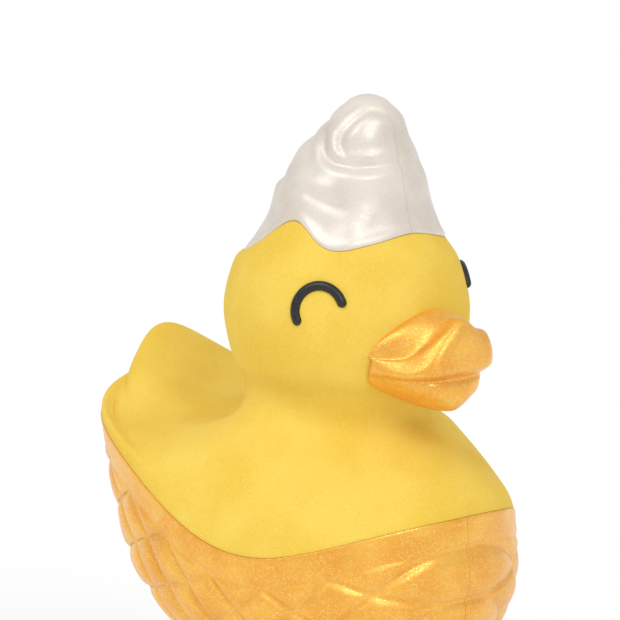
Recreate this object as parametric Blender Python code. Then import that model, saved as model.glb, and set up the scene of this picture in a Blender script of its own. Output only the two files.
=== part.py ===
"""Floating chlorine dispenser: a moulded duck float on a slotted canister for 76 mm tablets.

Frame: the origin is the middle of the base foot's underside, +Z is up and the duck faces -Y,
so its right side is -X. The canister, the sleeve, the lock ring and the socket share one
upright axis through the origin.

The duck's skin is a lines plan: rings from the hull's floor to the crest's tip, each with its
radius and height at five compass points (bow, fore quarter, beam, after quarter, stern), which
a short cosine series joins into a curve. The float body, the hull halves, the crest halves and
the bill all take their surfaces from that one skin, at different depths below it.
"""
import math
from dataclasses import dataclass
from functools import lru_cache

import bmesh
import bpy
from mathutils import Matrix, Vector

MM = 0.001

# Tablets and canister (mm)
TABLET_DIAMETER = 76.0
CANISTER_BORE_RADIUS = 40.5
CANISTER_OUTER_RADIUS = 42.9
CANISTER_FLOOR_Z = (10.2, 15.2)
CANISTER_TOP_Z = 112.0
COLUMN_COUNT = 8
SLOT_ROWS = ((20.0, 34.0), (38.5, 52.5))
SLOT_WIDTH = 9.0
SLEEVE_SLOT_WIDTH = 10.0

# Base foot and ballast (mm)
FOOT_RADIUS = 47.0
FOOT_WALL = 2.4
FOOT_FLOOR = 4.0
FOOT_HEIGHT = 11.5
BALLAST_RADIUS = 43.8
BALLAST_Z = (4.3, 9.9)
FOOT_SCREW_CIRCLE = 28.0
FOOT_SCREW_COUNT = 3

# Flow sleeve (mm)
SLEEVE_RADII = (43.4, 45.6)
SLEEVE_GRIP_RADIUS = 47.0
SLEEVE_Z = (11.8, 56.4)

# Breech lock between the lock ring and the canister (mm, degrees)
LUG_COUNT = 3
LUG_SPAN = 44.0
LUG_RADIUS = 47.4
LUG_Z = (61.0, 65.0)
TAB_SPAN = 48.0
TAB_INNER_RADIUS = 43.6
RING_OUTER_RADIUS = 52.0
RING_BORE_RADIUS = 47.2
RING_GROOVE_RADIUS = 48.4
RING_Z = (57.0, 75.0)
TAB_THICKNESS = 3.0

# Socket in the float's floor (mm)
SOCKET_BORE_RADIUS = 44.5
SOCKET_OUTER_RADIUS = 46.7
SOCKET_FLANGE_RADIUS = 59.4
SOCKET_FLANGE_Z = (76.5, 79.0)
SPIGOT_Z = 66.0
SPIGOT_BEAD_RADIUS = 47.9
SOCKET_TOP_Z = (118.0, 120.5)
GASKET_RADII = (47.9, 59.0)
GASKET_Z = (79.3, 80.0)
SOCKET_SCREW_CIRCLE = 55.5
SOCKET_SCREW_COUNT = 6
SCREW_SHANK_RADIUS = 1.6
SCREW_HEAD_RADIUS = 2.8

# Duck float (mm)
HULL_Z = 78.0
HEAD_RADIUS = 51.0
HEAD_HEIGHT = 143.0
HEAD_FORWARD = 7.5
TRIM_WALL = 2.0
BODY_WALL = 4.6
TAIL_REACH_SPREAD = math.radians(26.0)
TAIL_RISE_SPREAD = math.radians(17.0)

# Bill and eyes (mm, degrees)
BILL_TILT = 14.0
BILL_SPIGOT_RADIUS = 8.0
EYE_STROKE_RADIUS = 2.0
EYE_BEARING = 55.5
EYE_LATITUDE = 9.0
EYE_ARC_RADIUS = 11.3
EYE_ARC = (-26.0, 160.0)

GAP = 0.3
SEAM_GAP = 0.15
DUCK_STEPS = 40
TURNED_STEPS = 40


@dataclass(frozen=True)
class Station:
    """One ring of the duck's skin, in mm, with heights above the hull's floor."""

    name: str
    forward: float
    radii: tuple
    heights: tuple
    reach: float = 0.0
    rise: float = 0.0


def level(name, forward, radius, height):
    """A round ring at one height."""
    return Station(name, forward, (radius,) * 5, (height,) * 5)


def head_ring(latitude):
    """A ring of the head's sphere."""
    angle = math.radians(latitude)
    radius = HEAD_RADIUS * math.cos(angle)
    height = HEAD_HEIGHT + HEAD_RADIUS * math.sin(angle)
    return level(f"head_{latitude}", HEAD_FORWARD, radius, height)


STATIONS = (
    level("floor_hole", 0.0, 47.6, 0.0),
    level("floor_edge", 0.0, 60.0, 0.0),
    Station("turn", 0.0, (69, 67, 65, 67, 70), (7, 7, 7, 9, 12)),
    Station("bilge", 0.0, (80, 76, 74.5, 87, 96), (31, 28, 28, 38, 47)),
    Station("rim", 0.0, (79, 75, 76, 95.5, 112.5), (67.3, 57.7, 57.4, 89.0, 94)),
    Station("shoulder", 0.0, (70, 66, 71, 86.5, 99.5), (79.5, 75, 77, 89.5, 92), 11, 17),
    Station("tail", 0.0, (58, 53.5, 62, 69, 74), (90, 87, 89, 90.5, 91.5), 35.5, 30),
    Station("saddle", 2.0, (45, 42.5, 50, 51, 53), (97, 96, 96.5, 94, 90), 27, 9),
    Station("neck", 4.0, (39, 38, 42, 42, 42), (103, 103, 104, 100.5, 92.5), 6, 5),
    Station("nape", 6.0, (41, 40.5, 41, 41, 41), (112, 113, 113, 112, 107)),
    head_ring(-22),
    head_ring(2),
    head_ring(24),
    Station("hairline", 9.0, (37, 39.4, 35.6, 41.8, 38.5), (179, 174, 182, 169.5, 176)),
    Station("crest_low", 11.8, (30.5,) * 5, (194, 193, 195, 191, 193)),
    level("crest_mid", 14.0, 25.0, 207.0),
    level("crest_high", 17.5, 18.5, 217.0),
    level("crest_curl", 20.0, 14.0, 225.0),
    level("crest_tip", 20.0, 7.5, 231.5),
)
FLOOR_EDGE, RIM, HAIRLINE = 1, 4, 13
HULL_RINGS = 10
RIM_GAP, HAIRLINE_GAP = 0.015, 0.03
CREST_TIP = len(STATIONS) - 1
CREST_TOP_HEIGHT = 233.6


# ---------------------------------------------------------------- the duck's skin
@lru_cache(maxsize=None)
def cosine_terms(values):
    """The cosine series that passes through values spaced evenly from bow to stern."""
    last = len(values) - 1
    terms = []
    for order in range(last + 1):
        total = 0.0
        for index, value in enumerate(values):
            share = 0.5 if index in (0, last) else 1.0
            total += share * value * math.cos(math.pi * order * index / last)
        total *= 2.0 / last
        terms.append(total * 0.5 if order in (0, last) else total)
    return tuple(terms)


def around(values, bearing):
    """Read a compass tuple at a bearing from the bow."""
    terms = cosine_terms(tuple(values))
    return sum(term * math.cos(order * bearing) for order, term in enumerate(terms))


def ring_point(station, bearing):
    """A point of one ring, in mm above the hull's floor."""
    from_stern = abs(bearing) - math.pi
    reach = station.reach * math.exp(-((from_stern / TAIL_REACH_SPREAD) ** 2))
    rise = station.rise * math.exp(-((from_stern / TAIL_RISE_SPREAD) ** 2))
    radius = around(station.radii, bearing) + reach
    height = around(station.heights, bearing) + rise
    ahead = radius * math.cos(bearing) + station.forward
    return Vector((radius * math.sin(bearing), -ahead, height))


def skin_point(position, bearing):
    """The skin at a fractional station, by a Catmull-Rom curve through four rings."""
    index = min(max(int(position), 0), CREST_TIP - 1)
    t = position - index
    p1 = ring_point(STATIONS[index], bearing)
    p2 = ring_point(STATIONS[index + 1], bearing)
    p0 = ring_point(STATIONS[index - 1], bearing) if index > 0 else 2 * p1 - p2
    p3 = ring_point(STATIONS[index + 2], bearing) if index + 2 <= CREST_TIP else 2 * p2 - p1
    linear = (p2 - p0) * t
    square = (2 * p0 - 5 * p1 + 4 * p2 - p3) * t ** 2
    cube = (3 * p1 - p0 - 3 * p2 + p3) * t ** 3
    return 0.5 * (2 * p1 + linear + square + cube)


def skin_normal(position, bearing):
    """The outward direction of the skin."""
    step = 0.02
    along = skin_point(position + step, bearing) - skin_point(position - step, bearing)
    across = skin_point(position, bearing + step) - skin_point(position, bearing - step)
    return across.cross(along).normalized()


def skin_at_depth(position, bearing, depth):
    """A point a given depth below the skin, in metres and in the object's frame."""
    point = skin_point(position, bearing)
    if position <= FLOOR_EDGE:
        inward = Vector((0.0, 0.0, 1.0))
    else:
        inward = -skin_normal(position, bearing)
    point = point + inward * depth + Vector((0.0, 0.0, HULL_Z))
    return point * MM


def skin_rings(course, bearings):
    """Rings of points for a course of (station, depth) pairs."""
    return [[skin_at_depth(position, b, depth) for b in bearings] for position, depth in course]


def full_turn(steps):
    """Bearings all the way round, without the repeated last one."""
    return [2.0 * math.pi * k / steps for k in range(steps)]


def half_turn(steps):
    """Bearings from the bow to the stern on the duck's left side."""
    return [math.pi * k / steps for k in range(steps + 1)]


def course(start, stop, steps, depth):
    """Evenly spaced (station, depth) pairs."""
    span = stop - start
    return [(start + span * k / steps, depth) for k in range(steps + 1)]


# ---------------------------------------------------------------- mesh helpers
def ring_vertices(bm, ring):
    """Make the vertices of a ring; a ring of one point is a pole."""
    return [bm.verts.new(point) for point in ring]


def join_rings(bm, lower, upper, closed):
    """Fill the band between two rings, either of which may be a pole."""
    count = max(len(lower), len(upper))
    for k in range(count if closed else count - 1):
        nxt = (k + 1) % count
        corners = [lower[k], lower[nxt]] if len(lower) > 1 else [lower[0]]
        corners += [upper[nxt], upper[k]] if len(upper) > 1 else [upper[0]]
        bm.faces.new(corners)


def loft(rings, closed=True, looped=False):
    """Skin a list of rings into a mesh; looped joins the last ring to the first."""
    bm = bmesh.new()
    made = [ring_vertices(bm, ring) for ring in rings]
    for lower, upper in zip(made, made[1:]):
        join_rings(bm, lower, upper, closed)
    if looped:
        join_rings(bm, made[-1], made[0], closed)
    if not closed:
        cap_ends(bm, made, looped)
    bmesh.ops.recalc_face_normals(bm, faces=bm.faces)
    return bm


def cap_ends(bm, made, looped):
    """Close the two flat ends of a half piece along its seam."""
    front = [ring[0] for ring in made]
    back = [ring[-1] for ring in made]
    if looped:
        bm.faces.new(front)
        bm.faces.new(back)
        return
    bm.faces.new(front + back[-2:0:-1])


def turned(profile, steps=TURNED_STEPS):
    """Spin a profile of (radius, height) pairs in mm about the upright axis."""
    bm = bmesh.new()
    points = [bm.verts.new((radius * MM, 0.0, height * MM)) for radius, height in profile]
    edges = [bm.edges.new(pair) for pair in zip(points, points[1:])]
    if profile[0][0] > 0.0:
        edges.append(bm.edges.new((points[-1], points[0])))
    bmesh.ops.spin(
        bm,
        geom=points + edges,
        cent=(0.0, 0.0, 0.0),
        axis=(0.0, 0.0, 1.0),
        angle=2.0 * math.pi,
        steps=steps,
        use_merge=True,
    )
    bmesh.ops.remove_doubles(bm, verts=bm.verts, dist=1e-6)
    bmesh.ops.recalc_face_normals(bm, faces=bm.faces)
    return bm


def rod(radius, bottom, top, x=0.0, y=0.0, steps=12):
    """An upright cylinder, in mm."""
    bm = bmesh.new()
    bmesh.ops.create_cone(
        bm,
        cap_ends=True,
        segments=steps,
        radius1=radius * MM,
        radius2=radius * MM,
        depth=(top - bottom) * MM,
        matrix=Matrix.Translation((x * MM, y * MM, 0.5 * (top + bottom) * MM)),
    )
    return bm


def arc_block(inner, outer, bottom, top, centre, span, steps=6):
    """A block bent about the upright axis, in mm and degrees."""
    rings = []
    for k in range(steps + 1):
        angle = math.radians(centre - 0.5 * span + span * k / steps)
        corners = ((inner, bottom), (outer, bottom), (outer, top), (inner, top))
        rings.append([Vector((r * math.sin(angle), -r * math.cos(angle), z)) * MM for r, z in corners])
    bm = bmesh.new()
    made = [ring_vertices(bm, ring) for ring in rings]
    for first, second in zip(made, made[1:]):
        join_rings(bm, first, second, True)
    bm.faces.new(made[0])
    bm.faces.new(made[-1])
    bmesh.ops.recalc_face_normals(bm, faces=bm.faces)
    return bm


def radial_box(angle, width, bottom, top, inner=36.0, outer=52.0):
    """A box that points outwards from the axis, in mm and degrees."""
    bm = bmesh.new()
    size = Matrix.Diagonal((width * MM, (outer - inner) * MM, (top - bottom) * MM, 1.0))
    place = Matrix.Translation((0.0, -0.5 * (inner + outer) * MM, 0.5 * (top + bottom) * MM))
    turn = Matrix.Rotation(math.radians(angle), 4, "Z")
    bmesh.ops.create_cube(bm, size=1.0, matrix=turn @ place @ size)
    return bm


def gathered(pieces):
    """Put several meshes that don't touch into one."""
    total = bmesh.new()
    for piece in pieces:
        mesh = bpy.data.meshes.new("piece")
        piece.to_mesh(mesh)
        piece.free()
        total.from_mesh(mesh)
        bpy.data.meshes.remove(mesh)
    return total


def place_on_circle(radius, count, start=0.0):
    """Evenly spaced (x, y) places in mm on a circle about the axis."""
    angles = [math.radians(start + 360.0 * k / count) for k in range(count)]
    return [(radius * math.cos(a), radius * math.sin(a)) for a in angles]


# ---------------------------------------------------------------- objects and materials
def make_material(name, colour, roughness, metallic=0.0):
    """A plain surface."""
    material = bpy.data.materials.new(name)
    material.use_nodes = True
    surface = material.node_tree.nodes["Principled BSDF"]
    surface.inputs["Base Color"].default_value = (*colour, 1.0)
    surface.inputs["Roughness"].default_value = roughness
    surface.inputs["Metallic"].default_value = metallic
    return material


def add_object(name, bm, material=None, parent=None, smooth_angle=40.0):
    """Turn a mesh under construction into a named object."""
    mesh = bpy.data.meshes.new(name)
    bm.to_mesh(mesh)
    bm.free()
    obj = bpy.data.objects.new(name, mesh)
    bpy.context.scene.collection.objects.link(obj)
    obj.parent = parent
    if material is not None:
        mesh.materials.append(material)
        mesh.shade_smooth()
        mesh.set_sharp_from_angle(angle=math.radians(smooth_angle))
    return obj


def add_cutter(name, bm):
    """A construction shape that isn't part of the object."""
    cutter = add_object(name, bm)
    cutter.hide_render = True
    cutter.display_type = "WIRE"
    return cutter


def combine(obj, other, operation="DIFFERENCE"):
    """Cut a piece with a construction shape, or join the two."""
    modifier = obj.modifiers.new(f"{operation.lower()}_{other.name}", "BOOLEAN")
    modifier.operation = operation
    modifier.solver = "EXACT"
    modifier.object = other


def add_empty(name, height=0.0):
    """A group's frame, on the shared upright axis."""
    empty = bpy.data.objects.new(name, None)
    empty.empty_display_size = 0.02
    empty.location = (0.0, 0.0, height)
    bpy.context.scene.collection.objects.link(empty)
    return empty


# ---------------------------------------------------------------- the duck
def head_centre():
    """The middle of the head's sphere, in metres."""
    return Vector((0.0, -HEAD_FORWARD, HULL_Z + HEAD_HEIGHT)) * MM


def on_head(bearing, latitude, radius=HEAD_RADIUS):
    """A point on the head's sphere, with its bearing from the bow, in degrees."""
    b, lat = math.radians(bearing), math.radians(latitude)
    way = Vector((math.sin(b) * math.cos(lat), -math.cos(b) * math.cos(lat), math.sin(lat)))
    return head_centre() + way * radius * MM


def pole(depth):
    """The crest's highest point, or a point below it, as a ring of one."""
    forward = STATIONS[CREST_TIP].forward
    height = HULL_Z + CREST_TOP_HEIGHT - depth
    return [Vector((0.0, -forward, height)) * MM]


def dome_pole(depth):
    """The closed top of the float body, inside the crest."""
    station = STATIONS[HAIRLINE + 1]
    height = HULL_Z + station.heights[2] + 2.0 - depth
    return [Vector((0.0, -station.forward, height)) * MM]


def build_float_body(material, parent, bill_hole, eye_grooves, screw_holes):
    """The hollow yellow body, recessed where the hull and the crest cover it."""
    recess = TRIM_WALL + GAP
    outside = [(0.0, recess)]
    outside += course(FLOOR_EDGE, RIM - RIM_GAP, HULL_RINGS, recess) + [(RIM, recess)]
    outside += course(RIM, HAIRLINE, 12, 0.0)
    outside += [(HAIRLINE, recess), (HAIRLINE + 0.45, recess + 1.0), (HAIRLINE + 0.9, recess + 1.0)]
    inside = [(HAIRLINE + 0.9, BODY_WALL), (HAIRLINE, BODY_WALL)]
    inside += course(HAIRLINE - 1.0, 2.0, 9, BODY_WALL)
    inside += [(1.5, 6.0), (0.95, 8.5), (0.0, 8.5)]
    bearings = full_turn(DUCK_STEPS)
    rings = [dome_pole(recess)] + skin_rings(outside[::-1], bearings)
    rings += skin_rings(inside[::-1], bearings) + [dome_pole(BODY_WALL)]
    body = add_object("float_body", loft(rings), material, parent)
    combine(body, bill_hole)
    combine(body, eye_grooves)
    combine(body, screw_holes)
    return body


def seam_shift(side):
    """Half of the gap between two moulded halves."""
    return Matrix.Translation((side * SEAM_GAP * MM, 0.0, 0.0))


def half_piece(bm, side):
    """Place a half modelled on the duck's left, or mirror it to the right."""
    if side < 0:
        bmesh.ops.scale(bm, vec=(-1.0, 1.0, 1.0), verts=bm.verts)
        bmesh.ops.reverse_faces(bm, faces=bm.faces)
    bmesh.ops.transform(bm, matrix=seam_shift(side), verts=bm.verts)
    return bm


def build_hull_half(name, side, material, parent):
    """One half of the gold hull, moulded in two and joined along the keel line."""
    outside = course(FLOOR_EDGE, RIM - RIM_GAP, HULL_RINGS, 0.0)
    inside = course(RIM - RIM_GAP, FLOOR_EDGE, HULL_RINGS, TRIM_WALL)
    rings = skin_rings(outside + inside, half_turn(DUCK_STEPS // 2))
    bm = half_piece(loft(rings, closed=False, looped=True), side)
    return add_object(name, bm, material, parent)


def build_crest_half(name, side, material, parent):
    """One half of the hollow crest, which sits on the head's ledge."""
    bearings = half_turn(DUCK_STEPS // 2)
    outside = course(CREST_TIP, HAIRLINE + HAIRLINE_GAP, 8, 0.0)
    inside = course(HAIRLINE + HAIRLINE_GAP, CREST_TIP - 0.6, 7, TRIM_WALL)
    rings = [pole(0.0)] + skin_rings(outside, bearings)
    rings += skin_rings(inside, bearings) + [pole(TRIM_WALL + 3.0)]
    bm = half_piece(loft(rings, closed=False), side)
    return add_object(name, bm, material, parent)


def lip(half_width, half_length, half_height, ahead, height, blunt):
    """A blunt rounded lobe, in mm from the head's middle, as a superellipsoid."""
    def powered(value, exponent):
        return math.copysign(abs(value) ** exponent, value)

    rings = []
    for row in range(1, 10):
        lat = math.radians(-90.0 + 18.0 * row)
        ring = []
        for k in range(20):
            turn = 2.0 * math.pi * k / 20
            flat = powered(math.cos(lat), blunt)
            x = half_width * flat * powered(math.sin(turn), blunt)
            y = half_length * flat * powered(math.cos(turn), blunt)
            z = half_height * powered(math.sin(lat), blunt)
            ring.append(head_centre() + Vector((x, -ahead - y, height + z)) * MM)
        rings.append(ring)
    low = [head_centre() + Vector((0.0, -ahead, height - half_height)) * MM]
    high = [head_centre() + Vector((0.0, -ahead, height + half_height)) * MM]
    return loft([low] + rings + [high])


def head_shape(name, clearance):
    """The head and neck, grown by a clearance, as a construction shape."""
    rings = skin_rings(course(7.5, HAIRLINE, 11, -clearance), full_turn(DUCK_STEPS))
    base = sum(rings[0], Vector()) / len(rings[0])
    top = sum(rings[-1], Vector()) / len(rings[-1])
    return add_cutter(name, loft([[base]] + rings + [[top]]))


def along_bill(radius, start, stop, steps=20):
    """A cylinder on the bill's fixing axis, in mm from the head's middle."""
    bm = rod(radius, start, stop, steps=steps)
    return point_along_bill(bm)


def point_along_bill(bm):
    """Turn an upright mesh onto the bill's fixing axis, through the head's middle."""
    turn = Matrix.Rotation(math.radians(90.0 + BILL_TILT), 4, "X")
    bmesh.ops.transform(bm, matrix=Matrix.Translation(head_centre()) @ turn, verts=bm.verts)
    return bm


def build_bill(material, parent):
    """The two-lipped bill with its fixing spigot, hollowed to the head's curve."""
    upper = add_object("bill", lip(28.5, 30.0, 13.2, 39.0, -6.4, 0.72), material, parent)
    lower = add_cutter("bill_lower_lip", lip(21.5, 28.0, 8.6, 38.0, -25.6, 0.8))
    spigot = add_cutter("bill_spigot", along_bill(BILL_SPIGOT_RADIUS, 38.6, 58.0))
    combine(upper, lower, "UNION")
    combine(upper, head_shape("bill_seat", GAP))
    combine(upper, spigot, "UNION")
    return upper


def build_bill_retainer(material, parent):
    """The push-on ring that holds the bill's spigot inside the head."""
    bore = BILL_SPIGOT_RADIUS + GAP
    profile = ((bore, 40.2), (12.0, 40.2), (12.0, 41.4), (10.8, 42.4), (bore, 42.4))
    return add_object("bill_retainer", point_along_bill(turned(profile, 24)), material, parent)


def eye_stroke(side, radius):
    """A closed smiling eye: a short bent stroke with round ends, half sunk in the head."""
    steps, sides = 12, 8
    centre = head_centre()
    spine = []
    for k in range(steps + 1):
        angle = math.radians(EYE_ARC[0] + (EYE_ARC[1] - EYE_ARC[0]) * k / steps)
        bearing = side * (EYE_BEARING + EYE_ARC_RADIUS * math.cos(angle))
        spine.append(on_head(bearing, EYE_LATITUDE + EYE_ARC_RADIUS * math.sin(angle)))
    rings = []
    for k, point in enumerate(spine):
        along = (spine[min(k + 1, steps)] - spine[max(k - 1, 0)]).normalized()
        out = (point - centre).normalized()
        across = out.cross(along).normalized()
        shares = [(0.0, 1.0)]
        if k == 0:
            shares = [(-0.75, 0.66), (0.0, 1.0)]
        elif k == steps:
            shares = [(0.0, 1.0), (0.75, 0.66)]
        for push, share in shares:
            middle = point + along * push * radius * MM
            rings.append(stroke_ring(middle, out, across, radius * share, sides))
    tail = spine[0] + (spine[0] - spine[1]).normalized() * radius * MM
    tip = spine[-1] + (spine[-1] - spine[-2]).normalized() * radius * MM
    return loft([[tail]] + rings + [[tip]])


def stroke_ring(middle, out, across, radius, sides):
    """One section of an eye's stroke."""
    ring = []
    for k in range(sides):
        angle = 2.0 * math.pi * k / sides
        ring.append(middle + (out * math.cos(angle) + across * math.sin(angle)) * radius * MM)
    return ring


# ---------------------------------------------------------------- the socket
def build_socket_cup(material, parent):
    """The closed cup that keeps the float dry round the canister, with its flange."""
    bore, outer = SOCKET_BORE_RADIUS, SOCKET_OUTER_RADIUS
    low, high = SOCKET_FLANGE_Z
    inner_top, outer_top = SOCKET_TOP_Z
    profile = (
        (0.0, inner_top), (bore, inner_top), (bore, SPIGOT_Z),
        (SPIGOT_BEAD_RADIUS - 0.6, SPIGOT_Z), (SPIGOT_BEAD_RADIUS, SPIGOT_Z + 0.6),
        (SPIGOT_BEAD_RADIUS, SPIGOT_Z + 1.6), (outer, SPIGOT_Z + 2.2), (outer, low),
        (SOCKET_FLANGE_RADIUS, low), (SOCKET_FLANGE_RADIUS, high), (outer, high),
        (outer, outer_top - 1.5), (outer - 1.5, outer_top), (0.0, outer_top),
    )
    cup = add_object("socket_cup", turned(profile), material, parent)
    combine(cup, screw_hole_cutter("socket_flange_holes", 74.0, 82.0, 2.0))
    return cup


def screw_hole_cutter(name, bottom, top, radius):
    """The six holes on the socket's screw circle."""
    places = place_on_circle(SOCKET_SCREW_CIRCLE, SOCKET_SCREW_COUNT, 30.0)
    return add_cutter(name, gathered([rod(radius, bottom, top, x, y) for x, y in places]))


def build_gasket(material, parent):
    """The flat seal between the flange and the float's floor."""
    inner, outer = GASKET_RADII
    low, high = GASKET_Z
    profile = ((inner, low), (outer, low), (outer, high), (inner, high))
    gasket = add_object("socket_gasket", turned(profile), material, parent)
    combine(gasket, screw_hole_cutter("gasket_holes", 78.0, 82.0, 2.0))
    return gasket


def screw_mesh(head_bottom, seat, tip, steps=12):
    """A pan head screw with its head below, in mm."""
    shank, head = SCREW_SHANK_RADIUS, SCREW_HEAD_RADIUS
    profile = (
        (0.0, head_bottom), (head - 0.7, head_bottom), (head, head_bottom + 0.6),
        (head, seat), (shank, seat), (shank, tip - 1.0), (0.0, tip),
    )
    return turned(profile, steps)


def build_socket_screws(material, parent):
    """Six screws from below, through the flange and gasket into the float's floor."""
    places = place_on_circle(SOCKET_SCREW_CIRCLE, SOCKET_SCREW_COUNT, 30.0)
    for number, (x, y) in enumerate(places, 1):
        mesh = screw_mesh(74.4, SOCKET_FLANGE_Z[0] - GAP, 85.0)
        screw = add_object(f"socket_screw_{number}", mesh, material, parent)
        screw.location = (x * MM, y * MM, 0.0)


def build_lock_ring(material, parent):
    """The ring that turns on the spigot and brings three tabs under the canister's lugs."""
    low, high = RING_Z
    outer, bore, groove = RING_OUTER_RADIUS, RING_BORE_RADIUS, RING_GROOVE_RADIUS
    profile = (
        (groove, low), (outer - 1.0, low), (outer, low + 1.0), (outer, high - 1.0),
        (outer - 1.0, high), (bore, high), (bore, SPIGOT_Z + 2.8), (groove, SPIGOT_Z + 2.2),
    )
    ring = add_object("lock_ring", turned(profile), material, parent)
    tabs = []
    for k in range(LUG_COUNT):
        centre = 60.0 + 120.0 * k
        tabs.append(arc_block(TAB_INNER_RADIUS, groove + 1.2, low + 0.2, low + TAB_THICKNESS, centre, TAB_SPAN))
    combine(ring, add_cutter("lock_ring_tabs", gathered(tabs)), "UNION")
    return ring


# ---------------------------------------------------------------- the canister
def slot_cutter(name, width, margin):
    """Every slot of the flow pattern: two rows in eight columns."""
    boxes = []
    for column in range(COLUMN_COUNT):
        angle = 360.0 * column / COLUMN_COUNT
        for low, high in SLOT_ROWS:
            boxes.append(radial_box(angle, width, low - margin, high + margin))
    return add_cutter(name, gathered(boxes))


def build_canister(material, parent):
    """The tablet canister: an open cup with slots below and three lugs above."""
    bore, outer = CANISTER_BORE_RADIUS, CANISTER_OUTER_RADIUS
    low, floor = CANISTER_FLOOR_Z
    profile = (
        (0.0, low), (outer - 0.8, low), (outer, low + 0.8), (outer, CANISTER_TOP_Z - 0.8),
        (outer - 0.8, CANISTER_TOP_Z), (bore, CANISTER_TOP_Z), (bore, floor), (0.0, floor),
    )
    canister = add_object("canister", turned(profile), material, parent)
    combine(canister, slot_cutter("canister_slots", SLOT_WIDTH, 0.0))
    lugs = []
    for k in range(LUG_COUNT):
        lugs.append(arc_block(outer - 1.2, LUG_RADIUS, LUG_Z[0], LUG_Z[1], 120.0 * k, LUG_SPAN))
    combine(canister, add_cutter("canister_lugs", gathered(lugs)), "UNION")
    places = place_on_circle(FOOT_SCREW_CIRCLE, FOOT_SCREW_COUNT, 90.0)
    holes = [rod(SCREW_SHANK_RADIUS + GAP, 8.0, 14.0, x, y) for x, y in places]
    combine(canister, add_cutter("canister_screw_holes", gathered(holes)))
    return canister


def build_flow_sleeve(material, parent):
    """The slotted sleeve that turns on the canister to open or close its slots."""
    inner, outer = SLEEVE_RADII
    low, high = SLEEVE_Z
    grip = SLEEVE_GRIP_RADIUS
    profile = (
        (inner, low), (grip, low), (grip, low + 5.0), (outer, low + 6.4),
        (outer, high), (inner, high),
    )
    sleeve = add_object("flow_sleeve", turned(profile), material, parent)
    combine(sleeve, slot_cutter("sleeve_slots", SLEEVE_SLOT_WIDTH, 0.4))
    return sleeve


def build_base_foot(material, parent):
    """The weighted foot's tray, with three counterbored screw holes."""
    inner = FOOT_RADIUS - FOOT_WALL
    profile = (
        (0.0, 0.0), (FOOT_RADIUS - 1.5, 0.0), (FOOT_RADIUS, 1.5), (FOOT_RADIUS, FOOT_HEIGHT),
        (inner, FOOT_HEIGHT), (inner, FOOT_FLOOR), (0.0, FOOT_FLOOR),
    )
    foot = add_object("base_foot", turned(profile), material, parent)
    places = place_on_circle(FOOT_SCREW_CIRCLE, FOOT_SCREW_COUNT, 90.0)
    wide = [rod(SCREW_HEAD_RADIUS + GAP, -1.0, 2.4, x, y) for x, y in places]
    narrow = [rod(SCREW_SHANK_RADIUS + GAP, 1.0, 6.0, x, y) for x, y in places]
    combine(foot, add_cutter("foot_counterbores", gathered(wide)))
    combine(foot, add_cutter("foot_holes", gathered(narrow)))
    return foot


def build_ballast(material, parent):
    """The zinc disc that keeps the duck upright."""
    low, high = BALLAST_Z
    edge = BALLAST_RADIUS
    profile = (
        (0.0, low), (edge - 0.8, low), (edge, low + 0.8), (edge, high - 0.8),
        (edge - 0.8, high), (0.0, high),
    )
    ballast = add_object("ballast_disc", turned(profile), material, parent)
    places = place_on_circle(FOOT_SCREW_CIRCLE, FOOT_SCREW_COUNT, 90.0)
    holes = [rod(SCREW_SHANK_RADIUS + 0.5, 3.0, 11.0, x, y) for x, y in places]
    combine(ballast, add_cutter("ballast_holes", gathered(holes)))
    return ballast


def build_foot_screws(material, parent):
    """Three screws from below, through the foot and ballast into the canister's floor."""
    places = place_on_circle(FOOT_SCREW_CIRCLE, FOOT_SCREW_COUNT, 90.0)
    for number, (x, y) in enumerate(places, 1):
        screw = add_object(f"foot_screw_{number}", screw_mesh(0.4, 2.1, 13.4), material, parent)
        screw.location = (x * MM, y * MM, 0.0)


# ---------------------------------------------------------------- assembly
def clear_scene():
    """Start from an empty scene."""
    for obj in list(bpy.data.objects):
        bpy.data.objects.remove(obj, do_unlink=True)


def build_duck(parent):
    """The float: body, hull, crest, bill and eyes."""
    yellow = make_material("yellow_velvet", (0.82, 0.50, 0.085), 0.85)
    gold = make_material("gold_pearl", (0.80, 0.42, 0.09), 0.42, 0.25)
    pearl = make_material("white_pearl", (0.78, 0.74, 0.68), 0.35, 0.15)
    black = make_material("black_gloss", (0.012, 0.012, 0.014), 0.18)
    nylon = make_material("natural_nylon", (0.70, 0.68, 0.62), 0.45)
    bill_hole = add_cutter("bill_hole", along_bill(BILL_SPIGOT_RADIUS + GAP, 38.0, 56.0))
    grooves = [eye_stroke(side, EYE_STROKE_RADIUS + GAP) for side in (-1, 1)]
    eye_grooves = add_cutter("eye_grooves", gathered(grooves))
    screw_holes = screw_hole_cutter("float_screw_holes", 79.0, 85.4, SCREW_SHANK_RADIUS + GAP)
    build_float_body(yellow, parent, bill_hole, eye_grooves, screw_holes)
    for side, word in ((-1, "right"), (1, "left")):
        build_hull_half(f"hull_{word}", side, gold, parent)
        build_crest_half(f"crest_{word}", side, pearl, parent)
        add_object(f"eye_{word}", eye_stroke(side, EYE_STROKE_RADIUS), black, parent)
    build_bill(gold, parent)
    build_bill_retainer(nylon, parent)


def build_socket(parent):
    """The socket, its seal, its screws and the lock ring."""
    white = make_material("white_abs", (0.72, 0.73, 0.72), 0.38)
    rubber = make_material("black_rubber", (0.03, 0.03, 0.032), 0.75)
    steel = make_material("stainless_steel", (0.62, 0.62, 0.63), 0.28, 1.0)
    blue = make_material("blue_abs", (0.03, 0.19, 0.45), 0.35)
    build_socket_cup(white, parent)
    build_gasket(rubber, parent)
    build_socket_screws(steel, parent)
    turning = add_empty("lock_ring_axis", RING_Z[0] * MM)
    turning.parent = parent
    ring = build_lock_ring(blue, turning)
    ring.location.z = -RING_Z[0] * MM


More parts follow.
